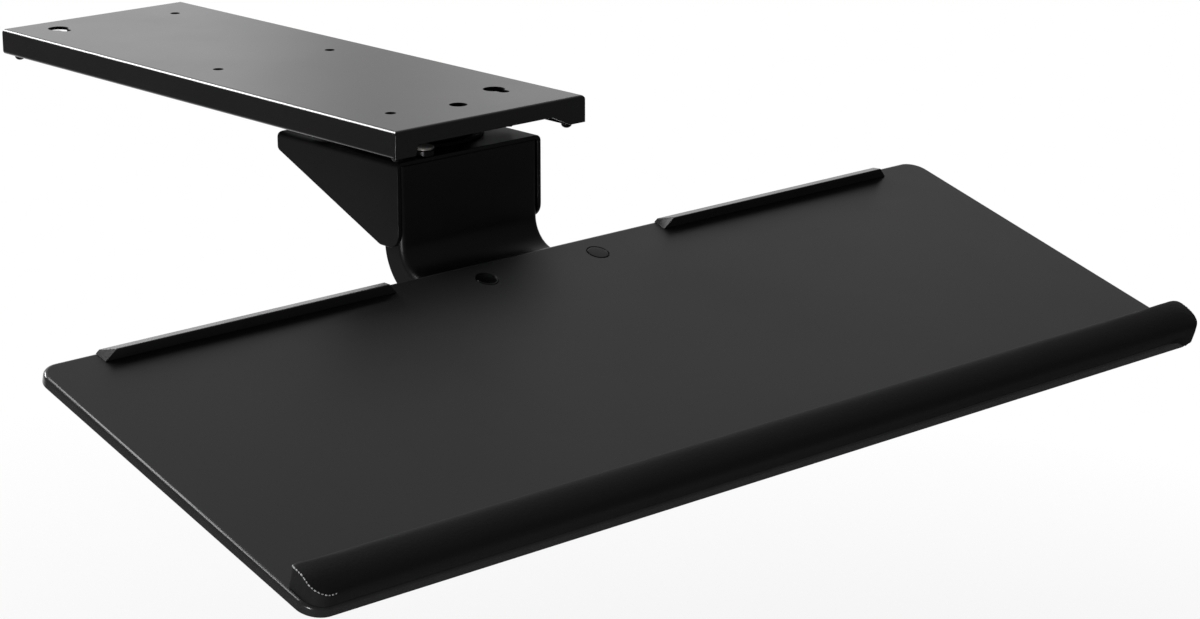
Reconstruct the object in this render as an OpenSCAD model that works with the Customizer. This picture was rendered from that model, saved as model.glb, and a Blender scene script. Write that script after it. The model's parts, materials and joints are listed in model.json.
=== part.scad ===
// Sliding, swivelling and tilting keyboard tray that hangs under a desk.
// The origin is the middle of the track's top face, where it meets the desk.
// +Z is up, +Y runs to the back of the desk, and the tray's user sits at -Y.

/* [Mounting track] */
// Length of the track, front to back
track_l = 398; // [360:1:600]
// Width of the track
track_w = 141; // [130:1:200]
// Height of the track's sides
track_h = 16; // [14:0.5:22]
// Sheet thickness of the track
track_t = 2; // [1.5:0.1:2.3]
// Outside radius of the track's bends
track_bend_r = 2.4; // [2.4:0.1:4]
// Width of each inward lip, from the outside of the track
lip_w = 13; // [12:0.5:16]
// Distance of the notch's left end from the middle of the front flange, along its top
notch_left = 54; // [30:1:55]
// How far the notch's left end slopes
notch_left_run = 2; // [0:0.5:6]
// Distance of the notch's right end from the middle of the front flange, along its top
notch_right = 45; // [30:1:48]
// How far the notch's right end slopes
notch_right_run = 14; // [0:0.5:16]
// Height of the notch in the front flange
notch_h = 6.3; // [2:0.1:8]

/* [Desk screw holes] */
// Distance between the two rows of holes
hole_row_gap = 84.6; // [60:0.1:100]
// Distance between neighbouring holes of a row
hole_pitch = 164; // [120:1:170]
// How far the hole pattern lies behind the middle of the track
hole_shift = 4; // [-6:0.5:6]
// Diameter of a desk screw hole
desk_hole_d = 5.8; // [4:0.1:7]
// Diameter of the round end of a keyhole
keyhole_d = 12.5; // [10:0.1:15]
// Distance from the narrow end of a keyhole to its round end
keyhole_run = 9; // [8:0.5:12]
// Diameter of the plain access hole
access_hole_d = 10; // [6:0.5:16]
// Distance of the access hole from the front edge
access_hole_inset = 30; // [20:1:60]

/* [End stops] */
// Distance of the end stops from the ends of the track
end_stop_inset = 8; // [7.5:0.5:14]
// Diameter of the end stop screws
end_screw_d = 4; // [3:0.5:5]
// Diameter of the end stop screws' heads
end_head_d = 6.4; // [6:0.2:9]
// Height of the end stop screws' heads
end_head_h = 3.6; // [2:0.1:4.5]
// Diameter of the rubber bumpers on the screws
bumper_d = 9; // [8:0.5:9.5]

/* [Slide carriage] */
// Length of the carriage
carriage_l = 125; // [118:1:160]
// Thickness of the carriage plate
carriage_t = 3; // [2.5:0.1:3.5]
// Length of a glide block
glide_l = 26; // [18:1:34]
// Width of a glide block
glide_w = 10; // [8:0.5:11]
// Thickness of a glide block under the carriage plate
glide_sole = 1.5; // [1:0.1:2]
// Thickness of a glide block beside the carriage plate
glide_wall = 2; // [1.5:0.1:3]

/* [Swivel] */
// Gap between the track and the top of the swivel bracket
swivel_gap = 8; // [7.5:0.5:16]
// Diameter of the swivel base
swivel_base_d = 88; // [80:1:96]
// Diameter of the pivot bolt
pivot_d = 12; // [10:0.5:14]
// Wall of the bush round the pivot bolt
bush_wall = 2; // [1:0.5:4]
// Turn each way from straight ahead, in degrees
swivel_range = 75; // [40:1:80]
// Distance of the swivel stop to the left of the middle
swivel_stop_x = 29; // [22:0.5:32]
// Distance of the swivel stop from the front of the bracket
swivel_stop_inset = 5.7; // [5.7:0.1:7]
// Diameter of the swivel stop's dome
swivel_stop_d = 11; // [8:0.1:11.4]
// Height of the swivel stop's dome
swivel_stop_h = 4.6; // [3:0.1:5]
// Diameter of the friction washer under the bracket
friction_washer_d = 44; // [36:1:60]
// Thickness of the friction washer
friction_washer_t = 2; // [1:0.5:4]
// Height of the disc spring under the friction washer
disc_spring_h = 3; // [2.5:0.1:5]
// Height of the lock nut
lock_nut_h = 11; // [8:0.5:14]

/* [Swivel bracket] */
// Width of the swivel bracket
bracket_w = 107.4; // [100:0.2:114]
// Length of the swivel bracket
bracket_l = 111; // [108:1:120]
// Sheet thickness of the swivel bracket
bracket_t = 2.5; // [2:0.1:3.2]
// Outside radius of the swivel bracket's bends
bracket_bend_r = 3.6; // [3.4:0.1:6]
// Height of the bracket's cheeks at the front
cheek_h = 50; // [40:0.5:54]
// Length of the cheeks' level bottom edge
cheek_toe = 17; // [16:0.5:30]
// Height of the cheeks at the back
cheek_heel = 10.5; // [9.5:0.5:20]
// Radius of the cheeks' lower front corners
cheek_front_r = 9; // [3:0.5:9]
// Radius of the corners where the cheeks start to slope
cheek_toe_r = 7; // [3:0.5:9]
// Radius of the cheeks' lower back corners
cheek_heel_r = 3; // [1:0.5:4.5]

/* [Arm] */
// Sheet thickness of the arm
arm_t = 3; // [2:0.1:3.2]
// Depth of the arm's side flanges
arm_flange = 15.5; // [14:0.5:22]
// Outside radius of the arm's long bends
arm_corner_r = 3.6; // [3.4:0.1:6]
// Radius of the arm's forward curve, on its hollow side
arm_curve_r = 17; // [12:0.5:24]
// Height from the top of the bracket down to the forward curve
arm_drop = 47.5; // [40:0.5:70]
// Distance from the forward curve to the tilt axis
tongue_l = 18.5; // [16:0.5:30]

/* [Tilt hinge] */
// Diameter of the tilt bolt
tilt_bolt_d = 6; // [5:0.5:8]
// Wall of the spacer tube on the tilt bolt
spacer_wall = 1.25; // [1:0.05:1.5]
// Gap between the spacer tube and the arm's long bends
spacer_gap = 1.4; // [1:0.1:3]
// Radius of the hinge ears round the tilt bolt
ear_r = 10; // [9.5:0.5:12]
// Diameter of the washers on the tilt bolt
tilt_washer_d = 18; // [14:0.5:18.5]
// Thickness of the washers on the tilt bolt
tilt_washer_t = 1; // [0.5:0.1:2]
// Height of the tilt bolt's head
tilt_head_h = 4; // [3:0.1:6]
// Diameter of the knob's grip
knob_d = 32; // [26:1:34]
// Length of the knob's grip
knob_l = 14; // [12:0.5:20]
// Diameter of the knob's hub
knob_hub_d = 20; // [16:0.5:24]
// Length of the knob's hub
knob_hub_l = 5; // [3:0.5:10]
// Number of finger hollows round the knob
knob_lobes = 7; // [5:1:9]

/* [Tray board] */
// Width of the tray board
board_w = 650; // [560:1:760]
// Depth of the tray board
board_d = 233; // [200:1:300]
// Thickness of the tray board
board_t = 6; // [5:0.5:9]
// Radius of the tray board's corners
board_corner_r = 12; // [8:0.5:30]
// Slope of the tray as it stands, front edge down, in degrees
tray_pitch = 16.3; // [5:0.1:20]
// Distance of the board's back edge ahead of the tilt axis
tray_setback = 3.9; // [2:0.1:8]

/* [Tray bracket] */
// Length of the tray bracket under the board
tray_plate_l = 110; // [90:1:150]
// Sheet thickness of the tray bracket
tray_plate_t = 2.5; // [2:0.1:3.5]
// Outside radius of the tray bracket's bends
tray_bend_r = 4; // [3.6:0.1:6]
// Height of the tray bracket's side flanges at the front
tray_flange_h = 8.5; // [6:0.5:14]
// Distance from the tilt axis to the underside of the tray bracket
tilt_clear = 15.8; // [15:0.1:22]

/* [Tray fastenings] */
// Distance between the two tray bolts
tray_bolt_gap = 83.2; // [70:0.2:88]
// Distance of the tray bolts from the board's back edge
tray_bolt_inset = 16.6; // [15:0.2:24]
// Diameter of the tray bolts
tray_bolt_d = 5; // [4:0.5:6]
// Diameter of the tray bolts' flat heads
tray_head_d = 11; // [9:0.5:12]
// Thickness of the tray bolts' flat heads
tray_head_t = 1.6; // [1:0.1:2]
// Diameter of the cover caps
cap_d = 12.6; // [11:0.1:16]
// Thickness of the cover caps
cap_t = 1.4; // [1:0.1:2]
// Width of the ring of shadow round a cover cap
cap_gap = 0.35; // [0.2:0.05:0.8]
// Height of the nuts on the tray bolts
tray_nut_h = 4; // [3:0.5:6]
// Diameter of the wood screws in the board
wood_screw_d = 3; // [2:0.5:3.5]
// Diameter of the wood screws' heads
wood_head_d = 6.4; // [5:0.2:8]
// Height of the wood screws' heads
wood_head_h = 1.8; // [1.2:0.1:2.4]
// Distance of the front bracket screws from the bracket's front edge
plate_screw_inset = 14; // [8:1:30]

/* [Back stops] */
// Length of a back stop
rail_l = 189; // [140:1:220]
// Height of a back stop
rail_h = 6.3; // [5:0.1:10]
// Depth of a back stop
rail_depth = 9.2; // [7:0.1:14]
// Width of the flat top of a back stop
rail_top = 0.6; // [0.4:0.1:4]
// Height of the low back edge of a back stop
rail_lip = 2; // [1:0.1:4]
// Length of the sloped ends of a back stop
rail_bevel = 6; // [2:0.5:12]
// Distance of a back stop from the board's side
rail_side_inset = 36; // [22:1:60]
// Distance of a back stop from the board's back edge
rail_back_inset = 0.6; // [0:0.1:6]
// Distance of the outer screws from the ends of a back stop
rail_screw_inset = 25; // [15:1:50]

/* [Wrist rest] */
// Width of the wrist rest
rest_w = 652; // [540:1:758]
// How far the wrist rest sits to the right of the board's middle
rest_shift = 3; // [-6:0.5:6]
// Depth of the wrist rest
rest_depth = 22.6; // [20:0.2:60]
// Height of the wrist rest along its front edge
rest_front_h = 6.5; // [6:0.5:10]
// Height of the wrist rest along its back edge
rest_back_h = 12.5; // [11:0.5:18]
// Rise of the crowned top over a straight line from edge to edge
rest_crown = 1.8; // [1:0.1:3]
// Radius of the wrist rest's front corners
rest_front_r = 9; // [5:0.5:12]
// Distance of the wrist rest from the board's front edge
rest_inset = 0.4; // [0:0.1:6]
// How far the wrist rest's lower edge is drawn in
rest_tuck = 0.6; // [0.4:0.1:2]
// Height of the drawn-in lower edge
rest_tuck_h = 3; // [2:0.5:5]
// Thickness of the wrist rest's base strip
rest_base_t = 3; // [2.5:0.5:5]
// Width of the padding round the base strip
rest_pad_wall = 4; // [3:0.5:8]
// Distance between the wrist rest's screws
rest_screw_gap = 140; // [100:1:150]

/* [Fits] */
// Radial gap between a pin and its hole
fit_gap = 0.05; // [0.02:0.01:0.1]
// Gap between a glide block and the track
slide_gap = 0.2; // [0.1:0.05:0.4]
// Gap left between a moving part and its stop
stop_gap = 0.3; // [0.2:0.1:1]
// Gap between a bolt head on the carriage and the track
head_gap = 1.5; // [0.5:0.1:2]

/* [Hidden] */
$fn = 64;

// How far a cut runs past the face that it opens
over = 1;

// Colours
satin_black = "#242426";
deep_black = "#161618";
laminate = "#3c3c3e";
zinc = "#9a9c9e";
nylon = "#2e2e30";
rubber = "#1a1a1a";
soft_black = "#1b1b1d";

// Inside of the track
track_front = -track_l / 2;
track_back = track_l / 2;
ceiling_z = -track_t;
lip_z = -track_h + track_t;
inside_half_w = track_w / 2 - track_t;
mouth_w = track_w - 2 * lip_w;
lip_mid_x = track_w / 2 - (lip_w + track_t) / 2;
end_stop_y = track_l / 2 - end_stop_inset;
end_screw_top = ceiling_z - head_gap;

// Carriage, which stands against the front bumpers
carriage_bottom = lip_z + glide_sole + slide_gap;
carriage_top = carriage_bottom + carriage_t;
pivot_y = -end_stop_y + bumper_d / 2 + stop_gap + carriage_l / 2;
glide_half_w = inside_half_w - slide_gap;
glide_edge_r = 0.8;
carriage_half_w = glide_half_w - glide_wall;
pivot_head_h = ceiling_z - head_gap - carriage_top;
pivot_bore_d = pivot_d + 2 * fit_gap;
pivot_hex_af = pivot_d + 7;

// Swivel base and its screws
bracket_top = -track_h - swivel_gap;
base_step_h = swivel_stop_h * 0.55;
base_neck_d = swivel_base_d - 10;
base_screw_d = 4;
base_bore_d = base_screw_d + 2 * fit_gap;
base_screw_r = swivel_base_d / 2 - 12;
base_screw_l = 7;
base_head_d = 8;
base_head_h = min(2.4, pivot_head_h);

// Swivel stop and the two lugs that it meets
bracket_front = pivot_y - bracket_l / 2;
bracket_back = pivot_y + bracket_l / 2;
swivel_stop_y = bracket_front + swivel_stop_inset;
stop_radius = norm([swivel_stop_x, pivot_y - swivel_stop_y]);
stop_angle = atan2(swivel_stop_x, pivot_y - swivel_stop_y);
lug_w = 8;
lug_z = bracket_top + base_step_h;
lug_top = -track_h - head_gap;
lug_angle = asin(((swivel_stop_d + lug_w) / 2 + stop_gap) / stop_radius) + swivel_range;
swivel_rivet_d = 5;

// Stack under the bracket
bracket_under = bracket_top - bracket_t;
friction_z = bracket_under - friction_washer_t;
spring_z = friction_z - disc_spring_h;
nut_z = spring_z - lock_nut_h;
pivot_end_z = nut_z - 2;
bush_d = pivot_bore_d + 2 * bush_wall;
spring_cone_h = 1;
spring_d = friction_washer_d - 8;

// Arm
arm_w = bracket_w - 2 * bracket_t;
curve_y = bracket_front - arm_curve_r;
curve_z = bracket_top - arm_drop;
tongue_top = curve_z - arm_curve_r;
tilt_bore_d = tilt_bolt_d + 2 * fit_gap;
spacer_d = tilt_bore_d + 2 * spacer_wall;
tilt_axis_depth = arm_corner_r + spacer_gap + spacer_d / 2;
tilt_y = curve_y - tongue_l;
tilt_z = tongue_top - tilt_axis_depth;
tilt_hex_af = tilt_bolt_d + 4;
weld_relief_r = bracket_bend_r - bracket_t + 1;

// Tilt hinge, outwards from the arm
ear_in_x = arm_w / 2 + tilt_washer_t;
ear_out_x = ear_in_x + tray_plate_t;
knob_x = ear_out_x + tilt_washer_t;
knob_bore_l = knob_hub_l + knob_l - 4;
knob_hollow_d = 9;

// Tray, whose own frame starts at the middle of the board's top back edge
tray_rise = board_t + tray_plate_t + tilt_clear;
plate_under = -board_t - tray_plate_t;
tray_bore_d = tray_bolt_d + 2 * fit_gap;
tray_hex_af = tray_bolt_d + 3;
cap_recess_t = cap_t + tray_head_t;
plate_screw_y = -tray_plate_l + plate_screw_inset;
wood_bore_d = wood_screw_d + 2 * fit_gap;
plate_screw_tip = -1.2;

// Back stops
rail_front = -rail_back_inset - rail_depth;
rail_mid_x = board_w / 2 - rail_side_inset - rail_l / 2;
rail_screw_y = rail_front + rail_top / 2 + 2.7;
rail_screw_tip = rail_h / 2;
rail_screws_x = [-rail_l / 2 + rail_screw_inset, 0, rail_l / 2 - rail_screw_inset];

// Wrist rest
rest_half_w = rest_w / 2;
rest_front = -board_d + rest_inset;
rest_back = rest_front + rest_depth;
rest_top = rest_back_h + rest_crown;
rest_slope = [rest_depth, rest_back_h - rest_front_h];
rest_crown_r = (pow(norm(rest_slope) / 2, 2) + pow(rest_crown, 2)) / (2 * rest_crown);
rest_crown_mid = [rest_front, rest_front_h] + rest_slope / 2
    - (rest_crown_r - rest_crown) * unit([-rest_slope[1], rest_slope[0]]);
rest_screws_x = [for (i = [-2 : 2]) rest_shift + i * rest_screw_gap];

// Outlines with rounded corners, each corner given as [x, y, radius]
function corner_xy(c) = [c[0], c[1]];
function unit(v) = v / norm(v);
function corner_sides(corners, i) =
    let (n = len(corners), p = corner_xy(corners[i]))
    [unit(corner_xy(corners[(i + n - 1) % n]) - p), unit(corner_xy(corners[(i + 1) % n]) - p)];
function half_angle(sides) = acos(sides[0] * sides[1]) / 2;
function corner_ends(corners, i) =
    let (
        p = corner_xy(corners[i]),
        sides = corner_sides(corners, i),
        run = corners[i][2] / tan(half_angle(sides))
    )
    corners[i][2] > 0 ? [p + sides[0] * run, p + sides[1] * run] : [p];
function corner_centre(corners, i) =
    let (sides = corner_sides(corners, i))
    corner_xy(corners[i]) + unit(sides[0] + sides[1]) * corners[i][2] / sin(half_angle(sides));

// Point where a line from p touches a circle round c, on the side that turn picks
function touch_point(p, c, r, turn) =
    let (v = p - c, a = atan2(v[1], v[0]) + turn * acos(r / norm(v)))
    c + r * [cos(a), sin(a)];

module rounded_polygon(corners) {
    polygon([for (i = [0 : len(corners) - 1]) each corner_ends(corners, i)]);
    for (i = [0 : len(corners) - 1]) {
        if (corners[i][2] > 0) {
            translate(corner_centre(corners, i)) circle(r = corners[i][2]);
        }
    }
}

// Section of a folded channel, its web along y = 0 and its flanges towards +y
module channel(w, depth, t, r) {
    difference() {
        rounded_polygon([[-w / 2, 0, r], [w / 2, 0, r], [w / 2, depth, 0], [-w / 2, depth, 0]]);
        rounded_polygon([
            [-w / 2 + t, t, r - t], [w / 2 - t, t, r - t],
            [w / 2 - t, depth + over, 0], [-w / 2 + t, depth + over, 0]
        ]);
    }
}

// A (y, z) outline drawn out along X, its middle at x = 0
module along_x(l) {
    rotate([90, 0, 90]) linear_extrude(l, center = true) children();
}

// An (x, z) outline drawn out along Y, from y0 to y1
module along_y(y0, y1) {
    translate([0, y1, 0]) rotate([90, 0, 0]) linear_extrude(y1 - y0) children();
}

// A bore or pin along Z between two heights
module pin(d, z0, z1) {
    translate([0, 0, z0]) cylinder(d = d, h = z1 - z0);
}

module ring(d, bore, z0, z1) {
    difference() {
        pin(d, z0, z1);
        pin(bore, z0 - over, z1 + over);
    }
}

// A hexagon of the given width across its flats
module hexagon(af, z0, z1) {
    translate([0, 0, z0]) cylinder(d = af / cos(30), h = z1 - z0, $fn = 6);
}

// A round head on z = 0 with an upright rim and a domed top
module domed_head(d, h) {
    rim = h * 0.3;
    crown = h - rim;
    sphere_r = (pow(d / 2, 2) + pow(crown, 2)) / (2 * crown);
    intersection() {
        cylinder(d = d, h = h);
        translate([0, 0, h - sphere_r]) sphere(r = sphere_r);
    }
}

// A screw driven upwards from z = 0, its domed head below
module upward_screw(d, l, head_d, head_h) {
    cylinder(d = d, h = l);
    mirror([0, 0, 1]) domed_head(head_d, head_h);
}

module at_pivot() {
    translate([0, pivot_y, 0]) children();
}

module at_end_stops() {
    for (x = [-lip_mid_x, lip_mid_x], y = [-end_stop_y, end_stop_y]) {
        translate([x, y, 0]) children();
    }
}

module at_base_screws() {
    at_pivot() for (a = [45 : 90 : 315]) {
        rotate(a) translate([base_screw_r, 0, 0]) children();
    }
}

// Turns Z to run along the tilt axis, starting at x
module on_tilt_axis(x) {
    translate([x, tilt_y, tilt_z]) rotate([0, 90, 0]) children();
}

// The tray's own frame
module on_tray() {
    translate([0, tilt_y, tilt_z]) rotate([tray_pitch, 0, 0])
        translate([0, -tray_setback, tray_rise]) children();
}

module at_tray_bolts(sides = [-1, 1]) {
    for (side = sides) {
        translate([side * tray_bolt_gap / 2, -tray_bolt_inset, 0]) children();
    }
}

module at_plate_screws() {
    for (side = [-1, 1]) {
        translate([side * tray_bolt_gap / 2, plate_screw_y, 0]) children();
    }
}

module at_rail_screws(side) {
    for (x = rail_screws_x) {
        translate([side * rail_mid_x + x, rail_screw_y, 0]) children();
    }
}

module at_rest_screws() {
    for (x = rest_screws_x) {
        translate([x, (rest_front + rest_back) / 2, 0]) children();
    }
}

// Keyhole with its narrow end at the origin and its round end behind
module keyhole() {
    circle(d = desk_hole_d);
    translate([-desk_hole_d / 2, 0]) square([desk_hole_d, keyhole_run]);
    translate([0, keyhole_run]) circle(d = keyhole_d);
}

// Two rows of three, with keyholes at one end of each row
module desk_holes() {
    for (side = [-1, 1], row = [-1, 0, 1]) {
        translate([side * hole_row_gap / 2, hole_shift + row * hole_pitch]) {
            if (side * row == -1) {
                keyhole();
            } else {
                circle(d = desk_hole_d);
            }
        }
    }
    translate([0, track_front + access_hole_inset]) circle(d = access_hole_d);
}

module track_section(inset, r) {
    half_w = track_w / 2 - inset;
    rounded_polygon([
        [-half_w, -track_h + inset, r], [half_w, -track_h + inset, r],
        [half_w, -inset, r], [-half_w, -inset, r]
    ]);
}

// Front flange, square below the bends and welded across the end of the channel
module front_flange_outline() {
    half_w = track_w / 2;
    rounded_polygon([
        [-half_w, -track_h, 0], [half_w, -track_h, 0],
        [half_w, 0, track_bend_r], [-half_w, 0, track_bend_r]
    ]);
}

module track_blank() {
    intersection() {
        union() {
            along_y(track_front + track_t, track_back) track_section(0, track_bend_r);
            along_y(track_front, track_front + track_t) front_flange_outline();
        }
        along_x(track_w + 2 * over) rounded_polygon([
            [track_front, -track_h - over, 0], [track_back + over, -track_h - over, 0],
            [track_back + over, 0, 0], [track_front, 0, track_bend_r]
        ]);
    }
}

module front_notch() {
    left_foot = -notch_left - notch_left_run;
    right_foot = notch_right + notch_right_run;
    polygon([
        [left_foot, -track_h], [left_foot, -track_h - over],
        [right_foot, -track_h - over], [right_foot, -track_h],
        [notch_right, -track_h + notch_h], [-notch_left, -track_h + notch_h]
    ]);
}

module track() {
    color(satin_black) difference() {
        track_blank();
        along_y(track_front + track_t, track_back + over) track_section(track_t, track_bend_r - track_t);
        along_y(track_front + track_t, track_back + over)
            translate([-mouth_w / 2, -track_h - over]) square([mouth_w, track_t + 2 * over]);
        along_y(track_front - over, track_front + track_t + over) front_notch();
        translate([0, 0, -track_t - over]) linear_extrude(track_t + 2 * over) desk_holes();
        at_end_stops() pin(end_screw_d + 2 * fit_gap, -track_h - over, lip_z + over);
    }
}

module end_stop_screws() {
    color(zinc) at_end_stops() translate([0, 0, -track_h])
        upward_screw(end_screw_d, end_screw_top + track_h, end_head_d, end_head_h);
}

module end_bumpers() {
    color(rubber) at_end_stops() ring(bumper_d, end_screw_d + 2 * fit_gap, lip_z, end_screw_top);
}

module carriage_blank() {
    translate([-carriage_half_w, -carriage_l / 2, carriage_bottom])
        cube([2 * carriage_half_w, carriage_l, carriage_t]);
}

module carriage_plate() {
    color(zinc) difference() {
        at_pivot() carriage_blank();
        at_pivot() pin(pivot_bore_d, carriage_bottom - over, carriage_top + over);
        at_base_screws() pin(base_bore_d, carriage_bottom - over, carriage_top + over);
    }
}

// Glide block folded round one corner of the carriage plate
module glide(side, end) {
    half_w = glide_w / 2;
    mid_y = end * (carriage_l - glide_l) / 2;
    z0 = lip_z + slide_gap;
    z1 = ceiling_z - slide_gap;
    color(nylon) at_pivot() difference() {
        translate([side * (glide_half_w - half_w), 0, 0]) along_y(mid_y - glide_l / 2, mid_y + glide_l / 2)
            rounded_polygon([
                [-half_w, z0, glide_edge_r], [half_w, z0, glide_edge_r],
                [half_w, z1, glide_edge_r], [-half_w, z1, glide_edge_r]
            ]);
        carriage_blank();
    }
}

module glide_front_left() { glide(-1, -1); }
module glide_front_right() { glide(1, -1); }
module glide_rear_left() { glide(-1, 1); }
module glide_rear_right() { glide(1, 1); }

// Lug that stops the swivel, the given angle from straight ahead, to the left
module swivel_lug(angle) {
    root_r = base_neck_d / 2 - 2;
    rotate(-90 - angle) translate([root_r, -lug_w / 2])
        square([stop_radius + swivel_stop_d / 4 - root_r, lug_w]);
}

module swivel_base() {
    color(nylon) difference() {
        at_pivot() {
            pin(swivel_base_d, bracket_top, lug_z);
            translate([0, 0, lug_z]) linear_extrude(lug_top - lug_z) {
                circle(d = base_neck_d);
                swivel_lug(stop_angle - lug_angle);
                swivel_lug(stop_angle + lug_angle);
            }
            pin(base_neck_d, lug_top, carriage_bottom);
        }
        at_pivot() pin(pivot_bore_d, bracket_top - over, carriage_bottom + over);
        at_base_screws() pin(base_bore_d, carriage_bottom - base_screw_l, carriage_bottom + over);
    }
}

module base_screws() {
    color(zinc) at_base_screws() {
        pin(base_screw_d, carriage_bottom - base_screw_l, carriage_top);
        translate([0, 0, carriage_top]) domed_head(base_head_d, base_head_h);
    }
}

module pivot_bolt() {
    color(zinc) at_pivot() {
        hexagon(pivot_hex_af, carriage_top, carriage_top + pivot_head_h);
        pin(pivot_d, pivot_end_z, carriage_top);
    }
}

module friction_washer() {
    color(nylon) at_pivot() ring(friction_washer_d, pivot_bore_d, friction_z, bracket_under);
}

// Conical washer, its rim up against the friction washer and its eye down on the nut
module disc_spring() {
    rim_r = spring_d / 2;
    eye_r = pivot_bore_d / 2;
    color(zinc) at_pivot() rotate_extrude() polygon([
        [rim_r, friction_z], [rim_r, spring_z + spring_cone_h],
        [eye_r, spring_z], [eye_r, friction_z - spring_cone_h]
    ]);
}

module lock_nut() {
    collar_h = lock_nut_h * 0.3;
    color(zinc) at_pivot() difference() {
        union() {
            hexagon(pivot_hex_af, nut_z + collar_h, spring_z);
            pin(pivot_hex_af - 2, nut_z, nut_z + collar_h);
        }
        pin(pivot_bore_d, nut_z - over, spring_z + over);
    }
}

module cheek_outline() {
    bottom = bracket_top - cheek_h;
    rounded_polygon([
        [bracket_front, bracket_top, 0],
        [bracket_front, bottom, cheek_front_r],
        [bracket_front + cheek_toe, bottom, cheek_toe_r],
        [bracket_back, bracket_top - cheek_heel, cheek_heel_r],
        [bracket_back, bracket_top, cheek_heel_r / 2]
    ]);
}

module swivel_bracket() {
    color(deep_black) difference() {
        intersection() {
            along_y(bracket_front, bracket_back)
                translate([0, bracket_top]) mirror([0, 1])
                channel(bracket_w, cheek_h, bracket_t, bracket_bend_r);
            along_x(bracket_w + 2 * over) cheek_outline();
        }
        at_pivot() pin(bush_d + 2 * fit_gap, bracket_under - over, bracket_top + over);
        translate([-swivel_stop_x, swivel_stop_y, 0])
            pin(swivel_rivet_d + 2 * fit_gap, bracket_under - over, bracket_top + over);
    }
}

module pivot_bush() {
    color(nylon) at_pivot() ring(bush_d, pivot_bore_d, bracket_under, bracket_top);
}

module swivel_stop() {
    color(zinc) translate([-swivel_stop_x, swivel_stop_y, 0]) {
        translate([0, 0, bracket_top]) domed_head(swivel_stop_d, swivel_stop_h);
        pin(swivel_rivet_d, bracket_under, bracket_top);
    }
}

module arm_section() {
    channel(arm_w, arm_flange, arm_t, arm_corner_r);
}

// Straight run between the bracket's cheeks, its top corners clear of the bracket's bends
module arm_upright() {
    half_w = arm_w / 2;
    intersection() {
        translate([0, bracket_front, curve_z]) linear_extrude(bracket_under - curve_z) arm_section();
        along_y(bracket_front, bracket_front + arm_flange) rounded_polygon([
            [-half_w, curve_z, 0], [half_w, curve_z, 0],
            [half_w, bracket_under, weld_relief_r], [-half_w, bracket_under, weld_relief_r]
        ]);
    }
}

module arm_curve() {
    translate([0, curve_y, curve_z]) rotate([-90, 0, 90])
        rotate_extrude(angle = 90) translate([arm_curve_r, 0]) rotate(-90) arm_section();
}

// Level run under the tray, rounded off about the tilt axis
module arm_tongue() {
    intersection() {
        translate([0, 0, tongue_top]) along_y(tilt_y - tilt_axis_depth, curve_y)
            mirror([0, 1]) arm_section();
        along_x(arm_w + 2 * over) {
            translate([tilt_y, tilt_z]) circle(r = tilt_axis_depth);
            translate([tilt_y, tongue_top - arm_flange]) square([tongue_l, arm_flange]);
        }
    }
}

module arm() {
    color(deep_black) difference() {
        union() {
            arm_upright();
            arm_curve();
            arm_tongue();
        }
        on_tilt_axis(0) pin(tilt_bore_d, -arm_w, arm_w);
    }
}

module tilt_bolt() {
    color(zinc) on_tilt_axis(0) {
        hexagon(tilt_hex_af, -ear_out_x - tilt_head_h, -ear_out_x);
        pin(tilt_bolt_d, -ear_out_x, knob_x + knob_bore_l - 2);
    }
}

module spacer_tube() {
    half_l = arm_w / 2 - arm_t;
    color(zinc) on_tilt_axis(0) ring(spacer_d, tilt_bore_d, -half_l, half_l);
}

module tilt_washers() {
    color(nylon) on_tilt_axis(0) for (side = [-1, 1]) {
        mid = side * (arm_w + tilt_washer_t) / 2;
        ring(tilt_washer_d, tilt_bore_d, mid - tilt_washer_t / 2, mid + tilt_washer_t / 2);
    }
}

module knob_washer() {
    color(zinc) on_tilt_axis(ear_out_x) ring(tilt_washer_d, tilt_bore_d, 0, tilt_washer_t);
}

module tilt_knob() {
    color(deep_black) on_tilt_axis(knob_x) difference() {
        union() {
            pin(knob_hub_d, 0, knob_hub_l);
            pin(knob_d, knob_hub_l, knob_hub_l + knob_l);
        }
        for (i = [0 : knob_lobes - 1]) {
            rotate(i * 360 / knob_lobes) translate([knob_d / 2 + knob_hollow_d / 4, 0, 0])
                pin(knob_hollow_d, knob_hub_l - over, knob_hub_l + knob_l + over);
        }
        pin(tilt_bore_d, -over, knob_bore_l);
    }
}

// Side view of the tray bracket: a flange that deepens into the hinge ear
module tray_bracket_outline() {
    axis = [tray_setback, -tray_rise];
    back_top = [0, -board_t];
    front_top = [-tray_plate_l, -board_t];
    front_bottom = [-tray_plate_l, -board_t - tray_flange_h];
    polygon([
        back_top, front_top, front_bottom,
        touch_point(front_bottom, axis, ear_r, 1), touch_point(back_top, axis, ear_r, -1)
    ]);
    translate(axis) circle(r = ear_r);
}

module tray_bracket() {
    depth = tray_plate_t + tilt_clear + ear_r;
    color(deep_black) on_tray() difference() {
        intersection() {
            translate([0, 0, -board_t]) along_y(-tray_plate_l, tray_setback + ear_r)
                mirror([0, 1]) channel(2 * ear_out_x, depth, tray_plate_t, tray_bend_r);
            along_x(2 * ear_out_x + 2 * over) tray_bracket_outline();
        }
        translate([0, tray_setback, -tray_rise]) rotate([0, 90, 0])
            pin(tilt_bore_d, -ear_out_x - over, ear_out_x + over);
        at_tray_bolts() pin(tray_bore_d, plate_under - over, -board_t + over);
        at_plate_screws() pin(wood_bore_d, plate_under - over, -board_t + over);
    }
}

module board_outline() {
    half_w = board_w / 2;
    rounded_polygon([
        [-half_w, -board_d, board_corner_r], [half_w, -board_d, board_corner_r],
        [half_w, 0, board_corner_r], [-half_w, 0, board_corner_r]
    ]);
}

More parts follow.
